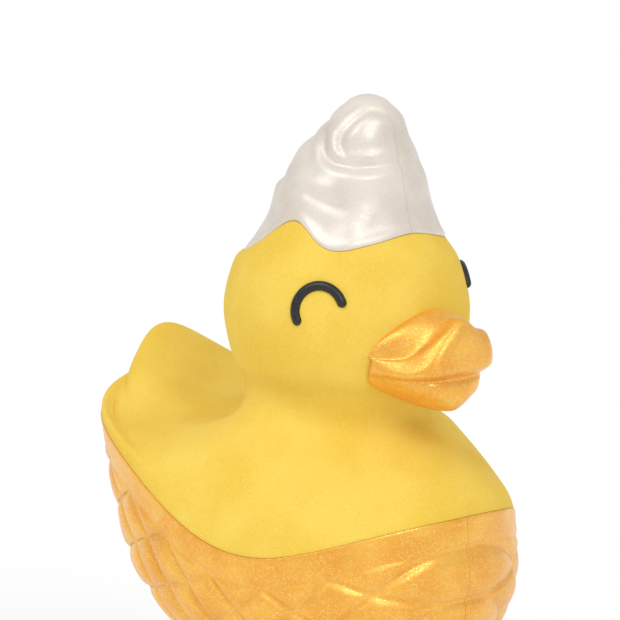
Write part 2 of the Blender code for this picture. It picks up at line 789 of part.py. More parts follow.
def build_feeder(parent):
    """The canister with its sleeve, foot, ballast and screws."""
    white = make_material("canister_polypropylene", (0.74, 0.75, 0.74), 0.42)
    blue = make_material("sleeve_polypropylene", (0.04, 0.24, 0.50), 0.36)
    zinc = make_material("zinc", (0.42, 0.43, 0.45), 0.5, 0.9)
    steel = make_material("foot_screw_steel", (0.62, 0.62, 0.63), 0.28, 1.0)
    build_canister(white, parent)
    build_base_foot(blue, parent)
    build_ballast(zinc, parent)
    build_foot_screws(steel, parent)
    turning = add_empty("flow_sleeve_axis", SLEEVE_Z[0] * MM)
    turning.parent = parent
    sleeve = build_flow_sleeve(blue, turning)
    sleeve.location.z = -SLEEVE_Z[0] * MM


def main():
    """Build every piece."""
    clear_scene()
    feeder = add_empty("feeder_group")
    duck = add_empty("float_group")
    build_feeder(feeder)
    build_socket(duck)
    build_duck(duck)
    bpy.context.view_layer.update()


main()
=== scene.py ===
"""Looks of a floating chlorine dispenser: a moulded duck float over a slotted tablet canister.

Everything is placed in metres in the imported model's frame: +Z is up, the duck faces -Y, and the
canister, the sleeve, the lock ring and the socket share one upright axis through the origin.
Each sub-assembly is a class whose fields are its sizes in millimetres. The duck's pieces are
measured upwards from the hull's floor, the turned pieces upwards from the ground.
"""

import logging
import math
from collections.abc import Callable, Sequence
from dataclasses import dataclass, field
from enum import Enum

import bmesh
import bpy
import numpy as np
from mathutils import Matrix, Vector


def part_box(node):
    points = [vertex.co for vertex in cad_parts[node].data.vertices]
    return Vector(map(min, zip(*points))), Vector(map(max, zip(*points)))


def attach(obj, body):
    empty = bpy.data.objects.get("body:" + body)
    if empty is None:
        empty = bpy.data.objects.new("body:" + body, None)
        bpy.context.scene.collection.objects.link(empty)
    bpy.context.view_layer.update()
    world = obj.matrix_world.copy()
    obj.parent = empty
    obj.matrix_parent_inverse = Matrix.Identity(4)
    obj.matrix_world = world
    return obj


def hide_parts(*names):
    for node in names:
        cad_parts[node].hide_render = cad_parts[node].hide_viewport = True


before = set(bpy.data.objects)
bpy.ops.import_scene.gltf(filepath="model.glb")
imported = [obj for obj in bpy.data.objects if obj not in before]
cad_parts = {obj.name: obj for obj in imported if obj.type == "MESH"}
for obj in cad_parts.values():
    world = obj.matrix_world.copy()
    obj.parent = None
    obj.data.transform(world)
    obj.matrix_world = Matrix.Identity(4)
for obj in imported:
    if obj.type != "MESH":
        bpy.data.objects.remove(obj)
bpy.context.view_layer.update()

LOG = logging.getLogger("dispenser")
MM = 0.001
WELD = 2e-7
Colour = tuple[float, float, float]
Points = np.ndarray
BMesh = bmesh.types.BMesh
Profile = Sequence[tuple[float, ...]]


class Side(Enum):
    """The duck's own right and left, as the sign of X."""

    RIGHT = -1
    LEFT = 1

    @property
    def word(self) -> str:
        """The side as it stands in a name."""
        return self.name.lower()


class Body(Enum):
    """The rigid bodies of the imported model."""

    FEEDER = "feeder"
    SLEEVE = "sleeve"
    FLOAT = "float"
    RING = "ring"


class Metal(Enum):
    """How a metal piece was made, which sets its grain."""

    TURNED = "turned"
    CAST = "cast"


# ---------------------------------------------------------------- shading
class Value:
    """A number that changes over a surface, with Python's arithmetic."""

    def __init__(self, shade: "Shade", socket: bpy.types.NodeSocket) -> None:
        """Keep the socket and the tree it belongs to."""
        self.shade = shade
        self.socket = socket

    def _math(self, operation: str, first: "Value | float", second: "Value | float") -> "Value":
        """Add a Math node for one operation."""
        node = self.shade.node("ShaderNodeMath", {"operation": operation}, {0: first, 1: second})
        return Value(self.shade, node.outputs[0])

    def __add__(self, other: "Value | float") -> "Value":
        """Sum."""
        return self._math("ADD", self, other)

    def __radd__(self, other: float) -> "Value":
        """Sum with a number on the left."""
        return self._math("ADD", other, self)

    def __sub__(self, other: "Value | float") -> "Value":
        """Difference."""
        return self._math("SUBTRACT", self, other)

    def __rsub__(self, other: float) -> "Value":
        """Difference from a number on the left."""
        return self._math("SUBTRACT", other, self)

    def __mul__(self, other: "Value | float") -> "Value":
        """Product."""
        return self._math("MULTIPLY", self, other)

    def __rmul__(self, other: float) -> "Value":
        """Product with a number on the left."""
        return self._math("MULTIPLY", other, self)

    def above(self, low: float, high: float) -> "Value":
        """Rise smoothly from 0 to 1 as the value goes from low to high."""
        settings = {"interpolation_type": "SMOOTHSTEP"}
        values = {"Value": self, "From Min": low, "From Max": high}
        return Value(self.shade, self.shade.node("ShaderNodeMapRange", settings, values).outputs[0])


class Shade:
    """The node tree of one finish, which ends in a Principled surface."""

    def __init__(self, name: str) -> None:
        """Start a material with its surface and the piece's own coordinates."""
        self.material = bpy.data.materials.new(name)
        self.material.use_nodes = True
        self.tree = self.material.node_tree
        self.surface = self.tree.nodes["Principled BSDF"]
        self.coordinates = self.node("ShaderNodeTexCoord").outputs["Object"]

    def node(self, kind: str, settings: dict | None = None, values: dict | None = None) -> bpy.types.Node:
        """Add a node.

        Args:
            kind: The node's type.
            settings: Its properties, set before its sockets.
            values: Its inputs by name or number: a number, a colour, a Value or a socket.

        Returns:
            The new node.
        """
        node = self.tree.nodes.new(kind)
        for key, setting in (settings or {}).items():
            setattr(node, key, setting)
        for key, value in (values or {}).items():
            self.feed(node.inputs[key], value)
        return node

    def feed(self, socket: bpy.types.NodeSocket, value: object) -> None:
        """Link or set one input."""
        if isinstance(value, Value):
            self.tree.links.new(value.socket, socket)
        elif isinstance(value, bpy.types.NodeSocket):
            self.tree.links.new(value, socket)
        elif isinstance(value, tuple) and socket.type == "RGBA":
            socket.default_value = (*value, 1.0)
        else:
            socket.default_value = value

    def set(self, **inputs: object) -> None:
        """Set inputs of the surface, with underscores for the spaces in their names."""
        for key, value in inputs.items():
            self.feed(self.surface.inputs[key.replace("_", " ").title().replace("Ior", "IOR")], value)

    def places(self, stretch: Colour = (1.0, 1.0, 1.0)) -> bpy.types.NodeSocket:
        """The piece's coordinates, stretched along its axes."""
        return self.node("ShaderNodeMapping", {}, {"Vector": self.coordinates, "Scale": stretch}).outputs[0]

    def noise(self, size: float, detail: float = 2.0, stretch: Colour = (1.0, 1.0, 1.0)) -> Value:
        """Soft noise with features of a size in millimetres."""
        values = {"Vector": self.places(stretch), "Scale": 1.0 / (size * MM), "Detail": detail}
        return Value(self, self.node("ShaderNodeTexNoise", {}, values).outputs["Fac"])

    def grains(self, size: float) -> Value:
        """A random number for each grain of a size in millimetres."""
        values = {"Vector": self.places(), "Scale": 1.0 / (size * MM)}
        cells = self.node("ShaderNodeTexVoronoi", {}, values).outputs["Color"]
        return Value(self, self.node("ShaderNodeSeparateColor", {}, {0: cells}).outputs[0])

    def blend(self, share: Value | float, first: object, second: object) -> bpy.types.NodeSocket:
        """Mix two colours."""
        settings = {"data_type": "RGBA"}
        return self.node("ShaderNodeMix", settings, {0: share, 6: first, 7: second}).outputs[2]

    def bump(self, relief: Value, depth: float, strength: float = 1.0) -> None:
        """Feed the surface's normal from a relief, with its depth in millimetres."""
        values = {"Height": relief, "Distance": depth * MM, "Strength": strength}
        self.feed(self.surface.inputs["Normal"], self.node("ShaderNodeBump", {}, values).outputs[0])


def paint(red: int, green: int, blue: int) -> Colour:
    """A paint chip's screen colour as the linear colour that a surface takes."""
    return tuple(
        c / 12.92 if c <= 0.04045 else ((c + 0.055) / 1.055) ** 2.4
        for c in (red / 255.0, green / 255.0, blue / 255.0)
    )


@dataclass(frozen=True)
class Finish:
    """A surface, with the name of its material and the slot that it stands for."""

    name: str
    slot: str

    def coat(self, shade: Shade) -> None:
        """Lay the nodes; each kind of finish has its own."""
        raise NotImplementedError

    def material(self) -> bpy.types.Material:
        """Build the material."""
        shade = Shade(self.name)
        self.coat(shade)
        return shade.material


@dataclass(frozen=True)
class VelvetFinish(Finish):
    """Flocked vinyl: a matt powdery coat with a fine nap and a pale bloom."""

    deep: Colour
    full: Colour
    pale: Colour
    speck: Colour
    nap: float = 0.45

    def coat(self, shade: Shade) -> None:
        """Lay the flocked coat."""
        clouds = shade.noise(34.0, 3.0).above(0.34, 0.68)
        fibres = shade.noise(self.nap, 3.0)
        colour = shade.blend(clouds, self.full, self.deep)
        colour = shade.blend(fibres.above(0.42, 0.74) * 0.5, colour, self.pale)
        colour = shade.blend(shade.noise(1.1, 2.0).above(0.58, 0.76) * 0.35, colour, self.speck)
        shade.set(base_color=colour, roughness=0.86 + 0.1 * fibres)
        shade.set(sheen_weight=0.22, sheen_roughness=0.45, sheen_tint=self.pale, specular_ior_level=0.2)
        shade.bump(fibres + 0.8 * shade.noise(self.nap * 3.2, 2.0), 0.12, 0.8)


@dataclass(frozen=True)
class PearlFinish(Finish):
    """Pearlescent paint: mica flakes in a satin coat, the brightest flakes tinted with a painted sparkle."""

    deep: Colour
    full: Colour
    glint: Colour
    metallic: float
    roughness: float
    flake: float = 0.42
    glitter: float = 0.5

    def coat(self, shade: Shade) -> None:
        """Lay the flaked paint."""
        flakes = shade.grains(self.flake)
        bright = flakes.above(0.7, 0.98)
        clouds = shade.noise(16.0, 3.0).above(0.3, 0.7)
        colour = shade.blend(clouds, self.deep, self.full)
        # painted sparkle: the brightest flakes take a highlight tint in their base colour; their extra metal
        # and gloss are real
        colour = shade.blend(bright * self.glitter, colour, self.glint)
        dust = shade.noise(self.flake * 1.6, 2.0)
        shade.set(base_color=colour, metallic=self.metallic + 0.12 * bright)
        shade.set(roughness=self.roughness + 0.14 * (dust - 0.5) - 0.08 * bright)
        shade.set(coat_weight=0.25, coat_roughness=0.3, specular_ior_level=0.5)
        shade.bump(0.3 * flakes + dust + 2.0 * shade.noise(4.5, 2.0), 0.06, 0.55)


@dataclass(frozen=True)
class GlossFinish(Finish):
    """A thick glossy lacquer, faintly uneven, with a few dust nibs."""

    colour: Colour
    roughness: float = 0.2

    def coat(self, shade: Shade) -> None:
        """Lay the lacquer."""
        streaks = shade.noise(2.5, 3.0)
        lighter = tuple(c * 1.8 + 0.004 for c in self.colour)
        shade.set(base_color=shade.blend(streaks.above(0.4, 0.7), self.colour, lighter))
        shade.set(roughness=self.roughness + 0.12 * streaks, coat_weight=0.12, coat_roughness=0.2)
        shade.bump(streaks + 0.6 * shade.noise(0.6, 2.0), 0.07, 0.6)


@dataclass(frozen=True)
class PlasticFinish(Finish):
    """Injection-moulded plastic with a fine spark-eroded grain and faint flow marks."""

    colour: Colour
    shadow: Colour
    roughness: float = 0.4
    grain: float = 0.5
    depth: float = 0.03
    glow: float = 0.0

    def coat(self, shade: Shade) -> None:
        """Lay the moulded plastic."""
        flow = shade.noise(22.0, 3.0, (1.0, 1.0, 0.3))
        grain = shade.noise(self.grain, 2.0)
        scuffs = shade.noise(3.2, 4.0, (1.0, 1.0, 2.4)).above(0.6, 0.75)
        colour = shade.blend(flow.above(0.35, 0.7) * 0.7, self.colour, self.shadow)
        colour = shade.blend(grain.above(0.55, 0.8) * 0.2, colour, self.shadow)
        shade.set(base_color=colour, roughness=self.roughness + 0.1 * grain + 0.14 * scuffs)
        shade.set(subsurface_weight=self.glow, subsurface_radius=(0.004, 0.004, 0.003))
        shade.set(specular_ior_level=0.45)
        shade.bump(grain + 0.8 * flow, self.depth, 0.6)


@dataclass(frozen=True)
class RubberFinish(Finish):
    """Black seal rubber with a dusty bloom."""

    colour: Colour
    bloom: Colour

    def coat(self, shade: Shade) -> None:
        """Lay the rubber."""
        dust = shade.noise(1.8, 4.0)
        shade.set(base_color=shade.blend(dust.above(0.45, 0.8) * 0.5, self.colour, self.bloom))
        shade.set(roughness=0.68 + 0.2 * dust, specular_ior_level=0.3)
        shade.bump(dust + shade.noise(0.4, 2.0), 0.04, 0.7)


@dataclass(frozen=True)
class MetalFinish(Finish):
    """Bare metal with the grain of how it was made."""

    colour: Colour
    stain: Colour
    made: Metal
    roughness: float

    def coat(self, shade: Shade) -> None:
        """Lay the metal."""
        turned = self.made is Metal.TURNED
        grain = shade.noise(0.25, 2.0, (1.0, 1.0, 6.0)) if turned else shade.noise(1.1, 4.0)
        stain = shade.noise(6.0, 4.0).above(0.5, 0.75)
        shade.set(base_color=shade.blend(stain * 0.45, self.colour, self.stain), metallic=1.0)
        shade.set(roughness=self.roughness + 0.15 * grain + 0.12 * stain)
        shade.bump(grain, 0.01 if turned else 0.12, 0.6)


YELLOW = VelvetFinish(
    "yellow_velvet", "yellow_velvet",
    paint(229, 190, 62), paint(236, 202, 82), paint(243, 219, 134), paint(226, 172, 44),
)
# the third colour of each pearl finish is a painted sparkle, laid on its brightest flakes
GOLD = PearlFinish(
    "gold_pearl", "gold_pearl",
    paint(235, 162, 46), paint(243, 182, 68), paint(255, 226, 150), 0.46, 0.36,
)
PEARL = PearlFinish(
    "white_pearl", "white_pearl",
    paint(212, 201, 188), paint(226, 217, 206), paint(250, 240, 226), 0.16, 0.38, glitter=0.3,
)
BLACK = GlossFinish("black_gloss", "black_gloss", paint(7, 7, 7), 0.34)
WHITE_ABS = PlasticFinish("white_abs", "white_abs", paint(226, 228, 226), paint(206, 209, 208), 0.34)
BLUE_ABS = PlasticFinish("blue_abs", "blue_abs", paint(38, 112, 178), paint(27, 92, 156), 0.32)
WHITE_POLY = PlasticFinish(
    "canister_polypropylene", "canister_polypropylene",
    paint(232, 233, 229), paint(214, 217, 214), 0.42, glow=0.12,
)
BLUE_POLY = PlasticFinish(
    "blue_polypropylene", "blue_polypropylene", paint(44, 124, 188), paint(30, 102, 168), 0.38, glow=0.06,
)
NYLON = PlasticFinish("natural_nylon", "natural_nylon", paint(219, 214, 198), paint(203, 196, 178), 0.45)
MARKING = PlasticFinish("marking_white", "white_abs", paint(236, 237, 234), paint(222, 224, 222), 0.5)
RUBBER = RubberFinish("seal_rubber", "black_rubber", paint(38, 38, 39), paint(78, 77, 75))
STEEL = MetalFinish(
    "screw_steel", "stainless_steel", paint(196, 198, 200), paint(160, 160, 158), Metal.TURNED, 0.24,
)
ZINC = MetalFinish("cast_zinc", "zinc", paint(158, 161, 166), paint(122, 124, 126), Metal.CAST, 0.42)


# ---------------------------------------------------------------- making pieces
def mesh_of(name: str, bm: BMesh) -> bpy.types.Mesh:
    """Turn a mesh under work into a finished one, and free it."""
    mesh = bpy.data.meshes.new(name)
    bm.to_mesh(mesh)
    bm.free()
    return mesh


def placed(name: str, data: bpy.types.ID) -> bpy.types.Object:
    """Make an object in the scene."""
    made = bpy.data.objects.new(name, data)
    bpy.context.scene.collection.objects.link(made)
    return made


def shown_mesh(shown: bpy.types.Object) -> BMesh:
    """The mesh of an object as it shows, with its modifiers applied."""
    graph = bpy.context.evaluated_depsgraph_get()
    bm = bmesh.new()
    bm.from_mesh(bpy.data.meshes.new_from_object(shown.evaluated_get(graph)))
    return bm


def moved(bm: BMesh, x: float, y: float, z: float) -> BMesh:
    """Shift a mesh by millimetres."""
    bmesh.ops.translate(bm, vec=(x * MM, y * MM, z * MM), verts=bm.verts)
    return bm


def spun(bm: BMesh, angle: float) -> BMesh:
    """Turn a mesh about the upright axis, by radians."""
    bmesh.ops.rotate(bm, cent=(0, 0, 0), matrix=Matrix.Rotation(angle, 3, "Z"), verts=bm.verts)
    return bm


class Workshop:
    """Turns finished meshes into pieces and dresses them."""

    def __init__(self) -> None:
        """Start with no material made."""
        self.materials: dict[str, bpy.types.Material] = {}

    def material(self, finish: Finish) -> bpy.types.Material:
        """The material of a finish, made once."""
        if finish.name not in self.materials:
            self.materials[finish.name] = finish.material()
        return self.materials[finish.name]

    def piece(
        self,
        name: str,
        bm: BMesh,
        finish: Finish,
        body: Body,
        nodes: Sequence[str] = (),
        sharp: float = 38.0,
    ) -> bpy.types.Object:
        """Make a piece of the object.

        Args:
            name: The piece's name.
            bm: Its mesh, in metres and in place; it is freed here.
            finish: What its surface is.
            body: The rigid body it moves with.
            nodes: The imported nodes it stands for.
            sharp: Edges that turn by more than this many degrees stay sharp.

        Returns:
            The piece's object.
        """
        loose = sum(1 for edge in bm.edges if len(edge.link_faces) != 2)
        if bm.calc_volume(signed=True) < 0.0:
            bmesh.ops.reverse_faces(bm, faces=bm.faces)
        mesh = mesh_of(name, bm)
        mesh.materials.append(self.material(finish))
        mesh.shade_smooth()
        mesh.set_sharp_from_angle(angle=math.radians(sharp))
        piece = placed(name, mesh)
        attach(piece, body.value)
        if nodes:
            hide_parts(*nodes)
        LOG.info("%s: %d faces, %d open edges, on %s", name, len(mesh.polygons), loose, body.value)
        return piece

    def dress(self, node: str, finish: Finish) -> None:
        """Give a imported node, whose shape stays, its finish."""
        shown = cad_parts[node]
        shown.data.materials.clear()
        shown.data.materials.append(self.material(finish))
        LOG.info("%s: packed shape kept, dressed in %s", node, finish.name)


def bent_sheet(columns: int, rows: int, shape: Callable[[Points, Points], Points]) -> BMesh:
    """Bend a flat grid into a shape, and merge the seams and poles where it meets itself.

    Args:
        columns: Squares across.
        rows: Squares up.
        shape: Gives the points, in millimetres, for arrays of the shares across and up.

    Returns:
        The mesh, in metres.
    """
    bm = bmesh.new()
    bmesh.ops.create_grid(bm, x_segments=columns, y_segments=rows, size=1.0)
    flat = np.array([vertex.co for vertex in bm.verts])
    points = shape(0.5 * (flat[:, 0] + 1.0), 0.5 * (flat[:, 1] + 1.0)) * MM
    for vertex, point in zip(bm.verts, points):
        vertex.co = point
    bmesh.ops.remove_doubles(bm, verts=bm.verts, dist=WELD)
    return bm


def close_ends(bm: BMesh) -> BMesh:
    """Cap every open end and turn all the faces outwards."""
    edges = [edge for edge in bm.edges if edge.is_boundary]
    caps = bmesh.ops.holes_fill(bm, edges=edges, sides=0)["faces"]
    bmesh.ops.triangulate(bm, faces=caps)
    bmesh.ops.recalc_face_normals(bm, faces=bm.faces)
    return bm


def rounded(profile: Profile, steps: int = 3) -> list[tuple[float, float]]:
    """Round the corners of a profile.

    Args:
        profile: (radius, height) pairs in millimetres, with a third number, the corner's
            rounding, where it has one.
        steps: Points added on each rounded corner.

    Returns:
        The (radius, height) pairs of the smoothed profile.
    """
    points = [np.array(corner[:2], float) for corner in profile]
    made = []
    for index, corner in enumerate(profile):
        here = points[index]
        reach = corner[2] if len(corner) > 2 else 0.0
        if reach == 0.0:
            made.append(tuple(here))
            continue
        before = points[index - 1] - here
        after = points[(index + 1) % len(points)] - here
        start = here + before / np.linalg.norm(before) * min(reach, 0.45 * np.linalg.norm(before))
        stop = here + after / np.linalg.norm(after) * min(reach, 0.45 * np.linalg.norm(after))
        for k in range(steps + 1):
            t = k / steps
            made.append(tuple((1 - t) ** 2 * start + 2 * t * (1 - t) * here + t ** 2 * stop))
    return made


def turned(profile: Sequence[tuple[float, float]], steps: int = 144) -> BMesh:
    """Spin a profile in millimetres about the upright axis; it closes on the axis or on itself."""
    bm = bmesh.new()
    points = [bm.verts.new((radius * MM, 0.0, height * MM)) for radius, height in profile]
    edges = [bm.edges.new(pair) for pair in zip(points, points[1:])]
    if profile[0][0] > 0.0:
        edges.append(bm.edges.new((points[-1], points[0])))
    bmesh.ops.spin(
        bm, geom=points + edges, cent=(0, 0, 0), axis=(0, 0, 1), angle=math.tau, steps=steps, use_merge=True
    )
    bmesh.ops.remove_doubles(bm, verts=bm.verts, dist=WELD)
    bmesh.ops.recalc_face_normals(bm, faces=bm.faces)
    return bm


def turned_part(section: Profile, centre: float, span: float, steps: int = 20) -> BMesh:
    """Sweep a closed section part of the way round the axis.

    Args:
        section: (radius, height) corners in millimetres.
        centre: The bearing of its middle from the bow, in degrees.
        span: How far it reaches round, in degrees.
        steps: Slices along it.

    Returns:
        The closed mesh.
    """
    bm = bmesh.new()
    start = math.radians(centre - 0.5 * span)
    ahead = Vector((math.sin(start), -math.cos(start), 0.0))
    corners = [bm.verts.new(ahead * r * MM + Vector((0, 0, z * MM))) for r, z in section]
    face = bm.faces.new(corners)
    bmesh.ops.spin(
        bm, geom=corners + list(face.edges) + [face], cent=(0, 0, 0), axis=(0, 0, 1),
        angle=math.radians(span), steps=steps, use_merge=False,
    )
    bmesh.ops.recalc_face_normals(bm, faces=bm.faces)
    return bm


def flute(bm: BMesh, count: int, depth: float, radius: float, low: float, high: float) -> None:
    """Press upright flutes into an outer wall.

    Args:
        bm: The turned mesh.
        count: Flutes all the way round.
        depth: How deep they are, in millimetres.
        radius: Only points further out than this are moved.
        low: Where they start, in height.
        high: Where they end.
    """
    for vertex in bm.verts:
        reach = math.hypot(vertex.co.x, vertex.co.y) / MM
        height = vertex.co.z / MM
        if reach < radius or not low <= height <= high:
            continue
        wave = 0.5 - 0.5 * math.cos(count * math.atan2(vertex.co.x, vertex.co.y))
        share = 1.0 - depth * wave ** 2 / reach
        vertex.co.x *= share
        vertex.co.y *= share


def gathered(parts: Sequence[BMesh]) -> BMesh:
    """Put several meshes into one."""
    total = bmesh.new()
    for part in parts:
        mesh = mesh_of("part", part)
        total.from_mesh(mesh)
        bpy.data.meshes.remove(mesh)
    return total


def combined(bm: BMesh, tool: BMesh, operation: str = "DIFFERENCE") -> BMesh:
    """Cut a mesh with another, or join the two, and free both."""
    held = [placed(name, mesh_of(name, part)) for name, part in (("work", bm), ("tool", tool))]
    work, tool_object = held
    modifier = work.modifiers.new("cut", "BOOLEAN")
    modifier.operation = operation
    modifier.solver = "EXACT"
    modifier.object = tool_object
    result = shown_mesh(work)
    for piece in held:
        bpy.data.objects.remove(piece, do_unlink=True)
    return result


def rounded_box(width: float, depth: float, height: float, rounding: float) -> BMesh:
    """A box about the origin with rounded edges, in millimetres."""
    bm = bmesh.new()
    bmesh.ops.create_cube(bm, size=1.0)
    bmesh.ops.scale(bm, vec=(width * MM, depth * MM, height * MM), verts=bm.verts)
    bmesh.ops.bevel(
        bm, geom=bm.edges[:], offset=rounding * MM, affect="EDGES", segments=4, profile=0.5, material=-1
    )
    return bm


def rod(radius: float, low: float, high: float, x: float, y: float, steps: int = 32) -> BMesh:
    """An upright cylinder for cutting a hole, in millimetres."""
    bm = bmesh.new()
    place = Matrix.Translation((x * MM, y * MM, 0.5 * (low + high) * MM))
    bmesh.ops.create_cone(
        bm, cap_ends=True, segments=steps, radius1=radius * MM, radius2=radius * MM,
        depth=(high - low) * MM, matrix=place,
    )
    return bm


def on_circle(radius: float, count: int, start: float) -> list[tuple[float, float]]:
    """Evenly spaced places on a circle about the axis, in millimetres."""
    angles = [math.radians(start + 360.0 * k / count) for k in range(count)]
    return [(radius * math.cos(a), radius * math.sin(a)) for a in angles]


def direction(bearing: float, elevation: float) -> Points:
    """A direction by its bearing from the bow and its elevation, in degrees."""
    b, e = math.radians(bearing), math.radians(elevation)
    return np.array((math.sin(b) * math.cos(e), -math.cos(b) * math.cos(e), math.sin(e)))


def catmull_rom(p0: Points, p1: Points, p2: Points, p3: Points, t: Points) -> Points:
    """The Catmull-Rom curve between p1 and p2, at shares t of the way."""
    cube = (3 * p1 - p0 - 3 * p2 + p3) * t ** 3
    return 0.5 * (2 * p1 + (p2 - p0) * t + (2 * p0 - 5 * p1 + 4 * p2 - p3) * t ** 2 + cube)


def soft_step(value: Points, low: float, high: float) -> Points:
    """Rise smoothly from 0 to 1 between two values."""
    t = np.clip((value - low) / (high - low), 0.0, 1.0)
    return t * t * (3.0 - 2.0 * t)


def swell(value: Points, middle: float, spread: float) -> Points:
    """A soft hump, 1 at its middle."""
    return np.exp(-(((value - middle) / spread) ** 2))


# ---------------------------------------------------------------- the duck's lines plan
@dataclass(frozen=True)
class Station:
    """One ring of the duck's skin: radii and heights at bow, fore quarter, beam, after quarter, stern."""

    forward: float
    radii: tuple[float, ...]
    heights: tuple[float, ...]
    reach: float = 0.0
    rise: float = 0.0


def level(forward: float, radius: float, height: float) -> Station:
    """A round ring at one height."""
    return Station(forward, (radius,) * 5, (height,) * 5)


def head_ring(latitude: float) -> Station:
    """A ring of the head's sphere."""
    angle = math.radians(latitude)
    return level(HEAD_FORWARD, HEAD_RADIUS * math.cos(angle), HEAD_HEIGHT + HEAD_RADIUS * math.sin(angle))


HULL_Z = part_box("hull_right")[0].z / MM
HEAD_RADIUS, HEAD_HEIGHT, HEAD_FORWARD = 51.0, 143.0, 7.5
STATIONS = (
    level(0.0, 47.6, 0.0),
    level(0.0, 60.0, 0.0),
    Station(0.0, (69, 67, 65, 67, 70), (7, 7, 7, 9, 12)),
    Station(0.0, (80, 76, 74.5, 87, 96), (31, 28, 28, 38, 47)),
    Station(0.0, (79, 75, 76, 95.5, 112.5), (67.3, 57.7, 57.4, 89.0, 94)),
    Station(0.0, (70, 66, 71, 86.5, 99.5), (79.5, 75, 77, 89.5, 92), 11, 17),
    Station(0.0, (58, 53.5, 62, 69, 74), (90, 87, 89, 90.5, 91.5), 35.5, 30),
    Station(2.0, (45, 42.5, 50, 51, 53), (97, 96, 96.5, 94, 90), 27, 9),
    Station(4.0, (39, 38, 42, 42, 42), (103, 103, 104, 100.5, 92.5), 6, 5),
    Station(6.0, (41, 40.5, 41, 41, 41), (112, 113, 113, 112, 107)),
    head_ring(-22),
    head_ring(2),
    head_ring(24),
    Station(9.0, (37, 39.4, 35.6, 41.8, 38.5), (179, 174, 182, 169.5, 176)),
    Station(11.8, (30.5,) * 5, (194, 193, 195, 191, 193)),
    level(14.0, 25.0, 207.0),
    level(17.5, 18.5, 217.0),
    level(20.0, 14.0, 225.0),
    level(20.0, 7.5, 231.5),
)
FLOOR_EDGE, RIM, HAIRLINE, CREST_TIP = 1, 4, 13, 18
HAIRLINE_WAVE = (179.0, 177.8, 175.8, 173.8, 175.6, 182.6, 182.8, 175.8, 169.8, 168.0, 170.5, 174.5, 176.0)


def cosine_terms(values: Sequence[float]) -> Points:
    """The cosine series through values spaced evenly from bow to stern."""
    last = len(values) - 1
    index = np.arange(last + 1)
    share = np.where((index == 0) | (index == last), 0.5, 1.0)
    waves = np.cos(np.pi * np.outer(index, index) / last)
    return (waves @ (share * np.array(values, float))) * 2.0 / last * share


@dataclass(frozen=True)
class Row:
    """One row of a moulded shell.

    station is its place on the lines plan and depth how far below the skin it lies. wave is its
    share of the hairline's wave, relief its share of the surface pattern, and closing how far
    the row is drawn in towards a pole.
    """

    station: float
    depth: float = 0.0
    wave: float = 0.0
    relief: float = 0.0
    closing: float = 0.0


def rows_between(first: Row, last: Row, count: int) -> list[Row]:
    """Evenly spaced rows, both ends included."""
    made = []
    for k in range(count + 1):
        t = k / count
        values = [(1 - t) * getattr(first, f) + t * getattr(last, f) for f in Row.__dataclass_fields__]
        made.append(Row(*values))
    return made


